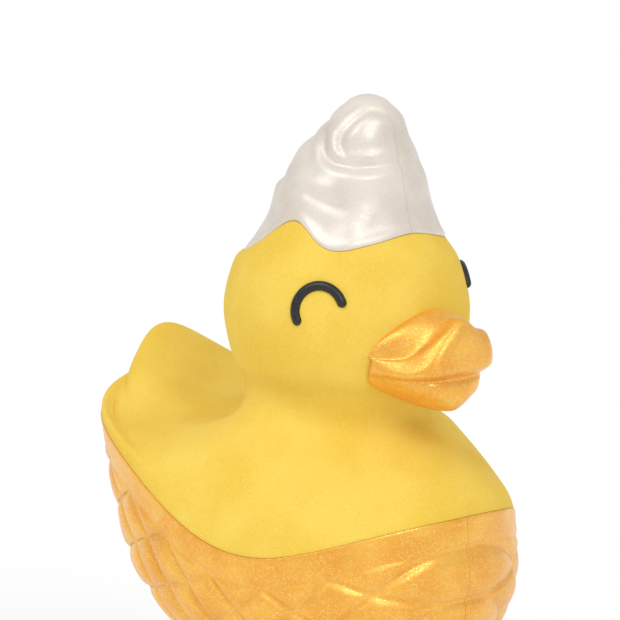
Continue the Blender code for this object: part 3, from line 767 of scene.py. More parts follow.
class DuckLines:
    """The duck's skin: a smooth curve through the stations at every bearing from the bow."""

    def __init__(
        self, stations: Sequence[Station], reach_spread: float = 26.0, rise_spread: float = 17.0,
    ) -> None:
        """Work out the stations' cosine terms."""
        self.radii = np.array([cosine_terms(s.radii) for s in stations])
        self.heights = np.array([cosine_terms(s.heights) for s in stations])
        self.forward = np.array([s.forward for s in stations])
        self.reach = np.array([s.reach for s in stations])
        self.rise = np.array([s.rise for s in stations])
        self.reach_spread = math.radians(reach_spread)
        self.rise_spread = math.radians(rise_spread)
        self.wave_terms = cosine_terms(HAIRLINE_WAVE)

    @staticmethod
    def series(terms: Points, bearing: Points) -> Points:
        """Read cosine terms, one row for each bearing or one for all."""
        orders = np.arange(terms.shape[-1])
        return (terms * np.cos(np.outer(bearing, orders))).sum(axis=1)

    def ring(self, index: Points, bearing: Points) -> Points:
        """Points of the numbered rings at bearings in radians."""
        astern = np.abs(bearing) - math.pi
        radius = self.series(self.radii[index], bearing)
        radius = radius + self.reach[index] * np.exp(-((astern / self.reach_spread) ** 2))
        height = self.series(self.heights[index], bearing)
        height = height + self.rise[index] * np.exp(-((astern / self.rise_spread) ** 2))
        ahead = radius * np.cos(bearing) + self.forward[index]
        return np.stack((radius * np.sin(bearing), -ahead, height), axis=1)

    def skin(self, station: Points, bearing: Points) -> Points:
        """Points of the skin, by a Catmull-Rom curve through four rings."""
        index = np.clip(station.astype(int), 0, CREST_TIP - 1)
        t = (station - index)[:, None]
        p1, p2 = self.ring(index, bearing), self.ring(index + 1, bearing)
        first, last = (index == 0)[:, None], (index == CREST_TIP - 1)[:, None]
        p0 = np.where(first, 2 * p1 - p2, self.ring(np.maximum(index - 1, 0), bearing))
        p3 = np.where(last, 2 * p2 - p1, self.ring(np.minimum(index + 2, CREST_TIP), bearing))
        return catmull_rom(p0, p1, p2, p3, t)

    def inward(self, station: Points, bearing: Points) -> Points:
        """Directions into the wall: up from the flat floor, and square to the skin elsewhere."""
        step = 0.02
        along = self.skin(station + step, bearing) - self.skin(station - step, bearing)
        across = self.skin(station, bearing + step) - self.skin(station, bearing - step)
        out = np.cross(across, along)
        out /= np.linalg.norm(out, axis=1)[:, None]
        flat = (station <= FLOOR_EDGE)[:, None]
        return np.where(flat, np.array((0.0, 0.0, 1.0)), -out)

    def station_at(self, bearing: Points, height: Points, low: float, high: float) -> Points:
        """Find the station where the skin passes a height, by halving."""
        low, high = np.full(len(bearing), low), np.full(len(bearing), high)
        for _ in range(24):
            middle = 0.5 * (low + high)
            below = self.skin(middle, bearing)[:, 2] < height
            low = np.where(below, middle, low)
            high = np.where(below, high, middle)
        return 0.5 * (low + high)

    def hairline(self, bearing: Points) -> Points:
        """How far the crest's wavy edge lies above its station."""
        single, back = np.unique(bearing, return_inverse=True)
        height = self.series(self.wave_terms, single)
        return (self.station_at(single, height, 11.5, 14.4) - HAIRLINE)[back]

    def rim_height(self, bearing: Points) -> Points:
        """The height of the hull's rim."""
        return self.ring(np.full(len(bearing), RIM), bearing)[:, 2]

    def shell(
        self,
        rows: Sequence[Row],
        columns: int,
        half: bool = False,
        relief: Callable[[Points, Points], Points] | None = None,
        pole_rise: float = 0.0,
    ) -> BMesh:
        """Mould a shell along a course of rows.

        Args:
            rows: The course, from its first row to its last.
            columns: Squares all the way round, or from bow to stern for a half.
            half: Mould only the duck's left half.
            relief: Gives the pattern's height in millimetres for bearings and points.
            pole_rise: How much higher a pole is than the row it closes.

        Returns:
            The mesh, in metres; a half is still open along its seam.
        """
        table = np.array([[getattr(row, f) for f in Row.__dataclass_fields__] for row in rows])

        def shape(across: Points, up: Points) -> Points:
            """Place the grid's points."""
            chosen = np.rint(up * (len(rows) - 1)).astype(int)
            station, depth, wave, share, closing = table[chosen].T
            bearing = across * (math.pi if half else math.tau)
            bearing = bearing if half else bearing - math.pi
            station = station + wave * self.hairline(bearing)
            base = self.skin(station, bearing)
            if relief is not None:
                depth = depth - share * relief(bearing, base)
            points = base + self.inward(station, bearing) * depth[:, None]
            for number in np.unique(chosen[closing > 0.0]):
                ring = chosen == number
                ahead = np.interp(table[number, 0], range(CREST_TIP + 1), self.forward)
                middle = np.array((0.0, -ahead, points[ring, 2].mean()))
                left = 1.0 - table[number, 4]
                points[ring] = middle + (points[ring] - middle) * left
                points[ring, 2] += pole_rise * (1.0 - left ** 2)
            points[:, 2] += HULL_Z
            points[np.abs(points[:, 0]) < 1e-7, 0] = 0.0
            return points

        return bent_sheet(columns, len(rows) - 1, shape)


LINES = DuckLines(STATIONS)
HEAD_MIDDLE = np.array((0.0, -HEAD_FORWARD, HEAD_HEIGHT))


def to_side(bm: BMesh, side: Side, seam: float) -> BMesh:
    """Place a left half, or mirror it to the right, with its share of the seam's gap."""
    if side is Side.RIGHT:
        bmesh.ops.scale(bm, vec=(-1.0, 1.0, 1.0), verts=bm.verts)
        bmesh.ops.recalc_face_normals(bm, faces=bm.faces)
    return moved(bm, side.value * seam, 0.0, 0.0)


@dataclass
class FloatBody:
    """The yellow body, neck and head: one hollow moulding, tucked under the hull and the crest."""

    wall: float = 4.6
    tuck: float = 2.3
    columns: int = 240
    tail_fullness: float = 2.2

    def relief(self, bearing: Points, points: Points) -> Points:
        """Soft modelling of the flesh: fuller tail sides and cheeks."""
        degrees = np.degrees(np.abs(bearing))
        height = points[:, 2]
        tail = self.tail_fullness * swell(degrees, 163.0, 10.0) * swell(height, 104.0, 11.0)
        cheeks = 0.8 * swell(degrees, 42.0, 20.0) * swell(height, 128.0, 11.0)
        return tail * (points[:, 1] > 30.0) + cheeks

    def build(self, shop: Workshop) -> None:
        """Mould the body and dress it."""
        rows = [Row(13.9, self.tuck + 1, 1.0, 0, 1.0), Row(13.9, self.tuck + 1, 1.0, 0, 0.5)]
        rows += rows_between(Row(13.9, self.tuck + 1, 1.0), Row(13.35, self.tuck, 1.0), 3)
        rows += [Row(13.02, self.tuck, 1.0), Row(HAIRLINE + 0.004, 0.25, 1.0)]
        rows += rows_between(Row(12.985, 0.0, 1.0, 1.0), Row(11.0, 0.0, 0.3, 1.0), 36)
        rows += rows_between(Row(10.96, 0.0, 0.28, 1.0), Row(RIM + 0.012, 0.0, 0.0, 1.0), 110)
        rows += [Row(RIM + 0.001, 0.15), Row(RIM - 0.01, self.tuck)]
        rows += rows_between(Row(RIM - 0.1, self.tuck), Row(FLOOR_EDGE, self.tuck), 18)
        rows += [Row(0.0, self.tuck), Row(0.0, 8.5), Row(0.95, 8.5), Row(1.5, 6.0)]
        rows += rows_between(Row(2.0, self.wall), Row(12.0, self.wall), 24)
        rows += rows_between(Row(12.5, self.wall, 1.0), Row(13.7, self.wall, 1.0), 4)
        rows += [Row(13.8, self.wall + 1, 1.0, 0, 0.5), Row(13.8, self.wall + 1, 1.0, 0, 1.0)]
        bm = LINES.shell(rows, self.columns, relief=self.relief, pole_rise=2.0)
        bmesh.ops.recalc_face_normals(bm, faces=bm.faces)
        shop.piece("velvet_body", bm, YELLOW, Body.FLOAT, ["float_body"])
        shop.dress("bill_retainer", NYLON)


@dataclass
class WaffleHull:
    """The gold hull, moulded in two halves and quilted like a waffle cone."""

    wall: float = 2.0
    seam: float = 0.06
    columns: int = 300
    cell_length: float = 25.0
    cell_drop: float = 23.0
    first_apex: float = 80.0
    band: float = 12.0
    pillow: float = 1.7
    groove: float = 0.4

    def relief(self, bearing: Points, points: Points) -> Points:
        """Pillowed diamonds below a plain band, as a mould pulled sideways leaves them."""
        below = LINES.rim_height(bearing) - points[:, 2]
        fore = (-points[:, 1] - self.first_apex) / self.cell_length
        down = (below - self.band) / self.cell_drop
        pattern = np.full(len(points), -0.7 * self.pillow)
        pillows = np.ones(len(points))
        for line in (fore + down, fore - down):
            near = 2.0 * np.abs(line - np.floor(line) - 0.5)
            pillows *= 1.0 - near ** 3
            pattern -= self.groove * np.exp(-(((1.0 - near) / 0.15) ** 2))
        pattern += self.pillow * pillows
        under = soft_step(below, self.band - 3.0, self.band + 3.5)
        crease = 0.5 * swell(below, self.band - 0.5, 1.5)
        lip = 0.35 * swell(below, 1.2, 2.0)
        return (pattern * under - crease) * soft_step(points[:, 2], 2.0, 11.0) + lip

    def build(self, shop: Workshop) -> None:
        """Mould both halves and dress them."""
        top = RIM - 0.002
        rows = rows_between(Row(FLOOR_EDGE), Row(1.97, 0.0, 0.0, 1.0), 14)
        rows += rows_between(Row(2.0, 0.0, 0.0, 1.0), Row(top - 0.012, 0.0, 0.0, 1.0), 112)
        rows += [Row(top - 0.003, 0.03, 0.0, 1.0), Row(top, 0.2), Row(top, self.wall)]
        rows += rows_between(Row(top - 0.05, self.wall), Row(FLOOR_EDGE, self.wall), 16)
        rows.append(rows[0])
        for side in Side:
            bm = LINES.shell(rows, self.columns, half=True, relief=self.relief)
            bm = to_side(close_ends(bm), side, self.seam)
            shop.piece(f"waffle_hull_{side.word}", bm, GOLD, Body.FLOAT, [f"hull_{side.word}"])


@dataclass(frozen=True)
class Fold:
    """A crease pressed into the crest: its course as (bearing, height) points, and its section."""

    course: tuple[tuple[float, float], ...]
    depth: float
    width: float
    lip: float = 0.0
    start_fade: float = 0.15
    stop_fade: float = 0.2

    def spine(self, samples: int) -> tuple[Points, Points]:
        """Points along the crease on the skin, and how strong it is at each."""
        course = np.array(self.course, float)
        along = np.linspace(0.0, len(course) - 1.0, samples)
        index = np.clip(along.astype(int), 0, len(course) - 2)
        t = (along - index)[:, None]
        p1, p2 = course[index], course[index + 1]
        p0 = course[np.maximum(index - 1, 0)]
        p3 = course[np.minimum(index + 2, len(course) - 1)]
        path = catmull_rom(p0, p1, p2, p3, t)
        bearing = np.radians(path[:, 0])
        bearing = (bearing + math.pi) % math.tau - math.pi
        station = LINES.station_at(bearing, path[:, 1], 12.5, float(CREST_TIP))
        share = np.linspace(0.0, 1.0, samples)
        strength = soft_step(share, 0.0, self.start_fade) * soft_step(1.0 - share, 0.0, self.stop_fade)
        return LINES.skin(station, bearing), strength

    def relief(self, points: Points) -> Points:
        """The crease's height at points, in millimetres."""
        spine, strength = self.spine(90)
        starts, runs = spine[:-1], np.diff(spine, axis=0)
        offset = points[:, None, :] - starts[None, :, :]
        share = np.clip((offset * runs).sum(axis=2) / (runs ** 2).sum(axis=1), 0.0, 1.0)
        apart = np.linalg.norm(offset - share[:, :, None] * runs, axis=2)
        nearest = apart.argmin(axis=1)
        rank = np.arange(len(points))
        distance = apart[rank, nearest]
        along = share[rank, nearest]
        strength = strength[nearest] * (1.0 - along) + strength[nearest + 1] * along
        section = self.lip * np.exp(-(((distance - 2.1 * self.width) / self.width) ** 2))
        section -= self.depth * np.exp(-((distance / self.width) ** 2))
        return section * strength


@dataclass
class SwirlCrest:
    """The white pearl crest: whipped tiers that wind down from a curled tip, in two halves."""

    wall: float = 2.0
    seam: float = 0.05
    columns: int = 150
    folds: tuple[Fold, ...] = (
        Fold(
            (
                (-200, 227), (-165, 225.5), (-136, 222.8), (-116, 220.2), (-98, 216.6), (-75, 209.5),
                (-50, 206.6), (-26, 206.6), (-5, 207.6), (28, 206.6), (62, 205.4),
            ),
            1.3, 2.1, 0.45, 0.12, 0.35,
        ),
        Fold(
            ((40, 206), (70, 205), (150, 201.6), (230, 198.4), (274, 196), (298, 192), (322, 188)),
            0.7, 2.3, 0.2, 0.3,
        ),
        Fold(
            ((-44, 208), (-64, 213), (-71, 219), (-62, 225), (-35, 228), (-4, 226.5), (20, 222)),
            0.8, 1.9, 0.25,
        ),
    )

    def relief(self, bearing: Points, points: Points) -> Points:
        """Creases between the tiers, their bellies, and soft drips above the hairline."""
        degrees = np.degrees(bearing)
        height = points[:, 2]
        total = sum(fold.relief(points) for fold in self.folds)
        for middle, rise, spread, tall, amount in self.bellies():
            round_by = (degrees - middle + 180.0) % 360.0 - 180.0
            total = total + amount * swell(round_by, 0.0, spread) * swell(height, rise, tall)
        edge = LINES.series(LINES.wave_terms, bearing)
        drips = 0.5 * np.cos(np.radians(degrees) * 9.0 + 0.6) * swell(height, edge + 7.0, 6.0)
        lip = 0.55 * swell(height, edge + 1.8, 2.2)
        return total + drips + lip

    @staticmethod
    def bellies() -> tuple[tuple[float, float, float, float, float], ...]:
        """Swellings as (bearing, height, spread round, spread up, amount)."""
        return (
            (-63.0, 199.5, 42.0, 5.5, 1.5),
            (-128.0, 194.0, 42.0, 8.5, 2.6),
            (-128.0, 211.0, 34.0, 5.0, 1.2),
            (-85.0, 219.0, 50.0, 6.0, 1.2),
            (-40.0, 217.5, 30.0, 4.0, 1.0),
            (140.0, 209.0, 60.0, 5.0, 1.0),
            (60.0, 198.0, 60.0, 6.0, 0.9),
            (180.0, 193.0, 60.0, 5.0, 0.9),
        )

    def side_relief(self, side: Side) -> Callable[[Points, Points], Points]:
        """The relief as a left half needs it, before it is mirrored."""
        def relief(bearing: Points, points: Points) -> Points:
            """Read the pattern on the half's own side."""
            mirrored = points * np.array((side.value, 1.0, 1.0))
            return self.relief(side.value * bearing, mirrored)

        return relief

    def build(self, shop: Workshop) -> None:
        """Mould both halves and dress them."""
        tip = float(CREST_TIP)
        start = HAIRLINE + 0.012
        rows = [Row(tip, 0, 0, 1, w) for w in (1.0, 0.8, 0.6, 0.45, 0.3, 0.15)]
        rows += rows_between(Row(tip, 0.0, 0.0, 1.0), Row(start + 0.05, 0.0, 1.0, 1.0), 130)
        rows += [Row(start + 0.02, 0.1, 1.0, 1.0), Row(start, 0.3, 1.0, 0.8), Row(start, self.wall, 1.0)]
        rows += rows_between(Row(start + 0.1, self.wall, 1.0), Row(17.3, self.wall), 14)
        rows += [Row(17.3, self.wall, 0, 0, 0.5), Row(17.3, self.wall, 0, 0, 1.0)]
        for side in Side:
            bm = LINES.shell(rows, self.columns, half=True, relief=self.side_relief(side), pole_rise=2.1)
            bm = to_side(close_ends(bm), side, self.seam)
            shop.piece(f"swirl_crest_{side.word}", bm, PEARL, Body.FLOAT, [f"crest_{side.word}"])


BILL_LIPS = (
    ((0, -57.5, 149.8), (8, -57, 148.2), (16, -55.4, 144.6), (23, -52.1, 139.4), (27.2, -48.9, 133.4)),
    ((0, -62.5, 149.5), (8, -61.8, 147.4), (16, -59.6, 143.3), (22.6, -55.4, 138.2), (27.2, -50.2, 132.8)),
    ((0, -70.2, 147.6), (7.4, -69.4, 143.3), (13.6, -67, 137.6), (19.2, -61.8, 132.4), (26.6, -51.6, 131.8)),
    ((0, -75.8, 148), (8, -75, 143.4), (14.6, -71.8, 137.6), (20.6, -64, 131.9), (26.6, -52.8, 131.2)),
    ((0, -78.2, 144), (8.6, -77.6, 139.8), (15.8, -74.6, 134.2), (21.8, -66.4, 129.4), (26.9, -53, 129.4)),
    ((0, -78.9, 136), (9.2, -78.5, 133.2), (16.8, -76, 129.8), (22.8, -67.6, 127.3), (27.1, -52.6, 127.6)),
    ((0, -78.3, 128.4), (9.2, -77.9, 127.2), (16.8, -75.2, 126.2), (22.8, -67, 125.4), (27, -51.9, 125.9)),
    ((0, -74.2, 123.6), (8.6, -73.6, 123.6), (15.8, -70.6, 123.6), (21.6, -62.8, 123.8), (26.2, -50.6, 124.2)),
    ((0, -75.4, 120.4), (8.2, -74.6, 120.6), (15, -71, 121), (20.8, -61.8, 121.8), (25.6, -49.6, 122.8)),
    ((0, -75, 114.6), (7.6, -73.6, 115.4), (13.8, -68.6, 117), (19.6, -58.9, 118.9), (24.8, -48.8, 121.2)),
    ((0, -70.4, 109.6), (6.6, -67.4, 110.7), (12.2, -61.4, 113.3), (18, -53.4, 116.3), (23.7, -48, 119.9)),
    ((0, -58, 109.4), (6, -56.4, 110.3), (11.5, -53.4, 112.8), (17.5, -49.9, 116), (23, -47.6, 119.4)),
    ((0, -46.6, 111.2), (5, -46.6, 112), (11, -46.8, 114.2), (17, -46.9, 116.9), (22.5, -46.8, 119.4)),
)


@dataclass
class Bill:
    """The gold bill: a broad upper lip with a rolled ridge over a smaller lower lip.

    lips lists the left half of each row across it, from the root on the brow round the
    front to the root on the throat, as (x, y, height) points from the middle to the corner.
    left_swell moves the third and fourth points of some rows on the left side only, as (y, height).
    """

    columns: int = 96
    rows_each: int = 7
    bury: float = 1.4
    left_swell: dict[int, tuple[tuple[float, float], tuple[float, float]]] = field(default_factory=lambda: {
        1: ((-0.3, 0.8), (-0.6, 0.8)),
        2: ((-0.8, 2.4), (-1.4, 1.8)),
        3: ((-1.6, 3.6), (-2.8, 2.8)),
        4: ((-1.2, 3.2), (-2.4, 2.4)),
        5: ((-0.2, 1.8), (-0.6, 1.4)),
        6: ((0.0, 0.8), (0.0, 0.4)),
        9: ((-1.0, -0.6), (-1.2, -0.6)),
    })
    lips: tuple[tuple[tuple[float, float, float], ...], ...] = BILL_LIPS

    def net(self) -> Points:
        """The control net, closed through the head's wall, with its corners buried."""
        rows = []
        for number, half in enumerate(self.lips):
            left = np.array(half, float)
            left = np.vstack((left, self.sunk(left[-1:])))
            right = left * np.array((-1.0, 1.0, 1.0))
            left[2:4, 1:] += self.left_swell.get(number, ((0.0, 0.0), (0.0, 0.0)))
            rows.append(np.vstack((right[:0:-1], left)))
        first, last = self.sunk(rows[0]), self.sunk(rows[-1])
        back = [self.sunk(first * (1 - t) + last * t, True) for t in (0.75, 0.5, 0.25)]
        return np.array(rows + [last] + back + [first])

    def sunk(self, points: Points, onto: bool = False) -> Points:
        """Move points towards the head's middle, or onto the sphere just below the skin."""
        way = points - HEAD_MIDDLE
        reach = np.linalg.norm(way, axis=1)[:, None]
        target = HEAD_RADIUS - self.bury if onto else reach - self.bury
        return HEAD_MIDDLE + way / reach * target

    def surface(self, net: Points, across: Points, along: Points) -> Points:
        """Read the net by Catmull-Rom curves: open across it, closed along it."""
        rows, columns = net.shape[:2]
        u, v = across * (columns - 1), along * rows
        i = np.clip(u.astype(int), 0, columns - 2)
        j = v.astype(int)
        wide = self.weights(u - i)
        tall = self.weights(v - j)
        total = np.zeros((len(across), 3))
        for b in range(4):
            for a in range(4):
                at = net[(j + b - 1) % rows, np.clip(i + a - 1, 0, columns - 1)]
                total += at * (tall[b] * wide[a])[:, None]
        return total

    @staticmethod
    def weights(t: Points) -> tuple[Points, Points, Points, Points]:
        """The four Catmull-Rom weights."""
        return (
            0.5 * (2 * t ** 2 - t - t ** 3),
            0.5 * (3 * t ** 3 - 5 * t ** 2 + 2),
            0.5 * (t + 4 * t ** 2 - 3 * t ** 3),
            0.5 * (t ** 3 - t ** 2),
        )

    def build(self, shop: Workshop) -> None:
        """Shape the bill and dress it."""
        net = self.net()
        rows = self.rows_each * len(net)

        def shape(across: Points, up: Points) -> Points:
            """Place the grid's points."""
            points = self.surface(net, across, np.where(up > 1.0 - 1e-6, 0.0, up))
            return points + np.array((0.0, 0.0, HULL_Z))

        bm = close_ends(bent_sheet(self.columns, rows, shape))
        every_way = {f"use_axis_{axis}": True for axis in "xyz"}
        bmesh.ops.smooth_vert(bm, verts=bm.verts, factor=0.5, **every_way)
        shop.piece("duck_bill", bm, GOLD, Body.FLOAT, ["bill"], sharp=60.0)


@dataclass
class Eyes:
    """Two closed smiling eyes: short bent strokes with round ends, half sunk in the head."""

    stroke: float = 2.0
    bearing: float = 55.5
    latitude: float = 9.0
    bend: float = 11.3
    sweep: tuple[float, float] = (-26.0, 160.0)

    def spine(self, side: Side, share: float) -> Points:
        """A point of the stroke's middle line."""
        angle = math.radians(self.sweep[0] + (self.sweep[1] - self.sweep[0]) * share)
        bearing = side.value * (self.bearing + self.bend * math.cos(angle))
        return HEAD_MIDDLE + direction(bearing, self.latitude + self.bend * math.sin(angle)) * HEAD_RADIUS

    def length(self, side: Side) -> float:
        """The stroke's length."""
        line = [self.spine(side, k / 40.0) for k in range(41)]
        return sum(float(np.linalg.norm(b - a)) for a, b in zip(line, line[1:]))

    def build(self, shop: Workshop) -> None:
        """Shape both eyes and dress them."""
        for side in Side:
            end = self.stroke / self.length(side)

            def shape(across: Points, up: Points, side: Side = side, end: float = end) -> Points:
                """Place the grid's points round the stroke, drawn in at both ends."""
                points = np.zeros((len(across), 3))
                for k, (around, along) in enumerate(zip(across, up)):
                    place = 0.5 - 0.5 * math.cos(math.pi * along)
                    share = -end + (1.0 + 2.0 * end) * place
                    over = max(-share, share - 1.0, 0.0) / end
                    radius = self.stroke * math.sqrt(max(0.0, 1.0 - over ** 2))
                    middle = self.spine(side, share)
                    way = self.spine(side, share + 0.01) - self.spine(side, share - 0.01)
                    out = (middle - HEAD_MIDDLE) / np.linalg.norm(middle - HEAD_MIDDLE)
                    wide = np.cross(out, way / np.linalg.norm(way))
                    turn = math.tau * around
                    points[k] = middle + radius * (out * math.cos(turn) * 0.9 + wide * math.sin(turn))
                    points[k][2] += HULL_Z
                return points

            bm = bent_sheet(24, 64, shape)
            bmesh.ops.recalc_face_normals(bm, faces=bm.faces)
            shop.piece(f"smiling_eye_{side.word}", bm, BLACK, Body.FLOAT, [f"eye_{side.word}"])


# ---------------------------------------------------------------- screws
@dataclass
class PanScrew:
    """A pan head screw driven upwards, with a cross recess and a rolled thread."""

    head: float = 2.8
    shank: float = 1.6
    pitch: float = 0.9
    thread: float = 0.3
    run_in: float = 0.7
    point: float = 2.0
    recess: tuple[float, float, float] = (2.9, 0.55, 1.6)
    recess_corner: float = 0.12
    turn_each: float = 37.0

    def mesh(self, bottom: float, seat: float, tip: float) -> BMesh:
        """Turn the screw on the upright axis; bottom, seat and tip are its heights."""
        profile = [(0.0, bottom), (self.head, bottom, 0.9), (self.head, seat, 0.15), (self.shank, seat)]
        root = self.shank - self.thread
        for k in range(int((tip - seat - self.point) / self.pitch)):
            height = seat + self.run_in + self.pitch * k
            profile += [(root, height), (self.shank, height + 0.35), (root, height + 0.7)]
        profile.append((0.0, tip))
        bm = turned(rounded(profile), 28)
        for turn in (0.0, math.radians(90.0)):
            slot = moved(rounded_box(*self.recess, self.recess_corner), 0.0, 0.0, bottom)
            bm = combined(bm, spun(slot, turn))
        return bm

    def drive(
        self, shop: Workshop, name: str, node: str, body: Body,
        places: Sequence[tuple[float, float]], heights: tuple[float, float, float],
    ) -> None:
        """Put one screw at each place, each standing for its numbered node."""
        master = self.mesh(*heights)
        for number, (x, y) in enumerate(places, 1):
            bm = moved(spun(master.copy(), math.radians(self.turn_each * number)), x, y, 0.0)
            shop.piece(f"{name}_{number}", bm, STEEL, body, [f"{node}_{number}"])
        master.free()


# ---------------------------------------------------------------- socket and lock ring
@dataclass
class Socket:
    """The closed cup that keeps the float dry round the canister, with its seal and screws."""

    bore: float = 44.5
    outer: float = 46.7
    flange: tuple[float, float] = (76.5, 79.0)
    flange_radius: float = 59.4
    spigot_low: float = 66.0
    bead: float = 47.9
    top: tuple[float, float] = (118.0, 120.5)
    seal: tuple[float, float] = (47.9, 59.0)
    seal_z: tuple[float, float] = (79.3, 80.0)
    screw_circle: float = 55.5
    screw_count: int = 6
    hole: float = 2.0
    hole_z: tuple[float, float] = (73.0, 82.0)

    def places(self) -> list[tuple[float, float]]:
        """The screws' places."""
        return on_circle(self.screw_circle, self.screw_count, 30.0)

    def holes(self) -> BMesh:
        """The cutter for the screw holes."""
        return gathered([rod(self.hole, *self.hole_z, x, y) for x, y in self.places()])

    def cup(self) -> BMesh:
        """The cup, its flange with a stiffening rib, and the beaded spigot."""
        low, high = self.flange
        roof, crown = self.top
        edge = self.flange_radius
        profile = (
            (0.0, roof), (self.bore, roof, 1.6), (self.bore, self.spigot_low, 0.3),
            (self.bead - 0.6, self.spigot_low, 0.2), (self.bead, self.spigot_low + 0.6, 0.2),
            (self.bead, self.spigot_low + 1.6, 0.2), (self.outer, self.spigot_low + 2.2, 0.2),
            (self.outer, low - 0.9, 0.3), (self.outer + 0.9, low, 0.5), (edge - 2.6, low, 0.2),
            (edge - 2.2, low - 0.5, 0.2), (edge - 0.8, low - 0.5, 0.2), (edge, low, 0.4),
            (edge, high, 0.5), (self.outer, high, 0.3), (self.outer, crown, 2.0), (0.0, crown),
        )
        return combined(turned(rounded(profile)), self.holes())

    def build(self, shop: Workshop) -> None:
        """Make the cup, the seal and the screws."""
        shop.piece("dry_socket", self.cup(), WHITE_ABS, Body.FLOAT, ["socket_cup"])
        inner, outer = self.seal
        low, high = self.seal_z
        ring = turned(rounded(((inner, low, 0.2), (outer, low, 0.3), (outer, high, 0.3), (inner, high, 0.2))))
        seal = combined(ring, self.holes())
        shop.piece("flange_seal", seal, RUBBER, Body.FLOAT, ["socket_gasket"])
        seat = self.flange[0] - 0.3
        PanScrew().drive(shop, "flange_screw", "socket_screw", Body.FLOAT, self.places(), (74.4, seat, 85.0))


@dataclass
class LockRing:
    """The breech ring: a fluted grip outside, three tabs inside."""

    outer: float = 52.0
    bore: float = 47.2
    groove: float = 48.4
    low: float = 57.0
    high: float = 75.0
    track: float = 68.8
    flutes: int = 42
    tab_inner: float = 43.6
    tab_span: float = 48.0
    tab_centres: tuple[float, ...] = (60.0, 180.0, 300.0)
    tab_z: tuple[float, float] = (57.2, 60.0)

    def build(self, shop: Workshop) -> None:
        """Turn the ring, flute it and add the tabs."""
        out, low, high = self.outer, self.low, self.high
        profile = rounded((
            (self.groove, low, 0.3), (out - 0.6, low, 0.5), (out, low + 1.2, 0.3), (out, low + 3.0, 0.2),
            (out - 0.7, low + 3.5, 0.2), (out - 0.7, high - 3.5, 0.2), (out, high - 3.0, 0.2),
            (out, high - 1.0, 0.6), (out - 1.2, high, 0.4), (self.bore, high, 0.3),
            (self.bore, self.track, 0.1), (self.groove, self.track - 0.6, 0.1),
        ))
        ring = turned(profile, self.flutes * 8)
        flute(ring, self.flutes, 1.0, out - 1.1, low + 3.4, high - 3.4)
        bottom, top = self.tab_z
        inner, root = self.tab_inner, self.groove + 1.2
        section = ((inner, bottom), (root, bottom), (root, top), (inner + 0.6, top), (inner, top - 0.6))
        tabs = [turned_part(section, centre, self.tab_span) for centre in self.tab_centres]
        ring = combined(ring, gathered(tabs), "UNION")
        shop.piece("breech_ring", ring, BLUE_ABS, Body.RING, ["lock_ring"])


# ---------------------------------------------------------------- canister and sleeve
@dataclass
class SlotPattern:
    """The flow slots: two rows in eight columns."""

    columns: int = 8
    rows: tuple[tuple[float, float], ...] = ((20.0, 34.0), (38.5, 52.5))
    wall_radius: float = 44.0
    reach: float = 14.0
    corner: float = 1.3

    def cutter(self, width: float, margin: float) -> BMesh:
        """Every slot as a round-cornered block that crosses the wall."""
        blocks = []
        for column in range(self.columns):
            turn = math.tau * column / self.columns
            for low, high in self.rows:
                block = rounded_box(width, self.reach, high - low + 2.0 * margin, self.corner)
                blocks.append(spun(moved(block, 0.0, -self.wall_radius, 0.5 * (low + high)), turn))
        return gathered(blocks)


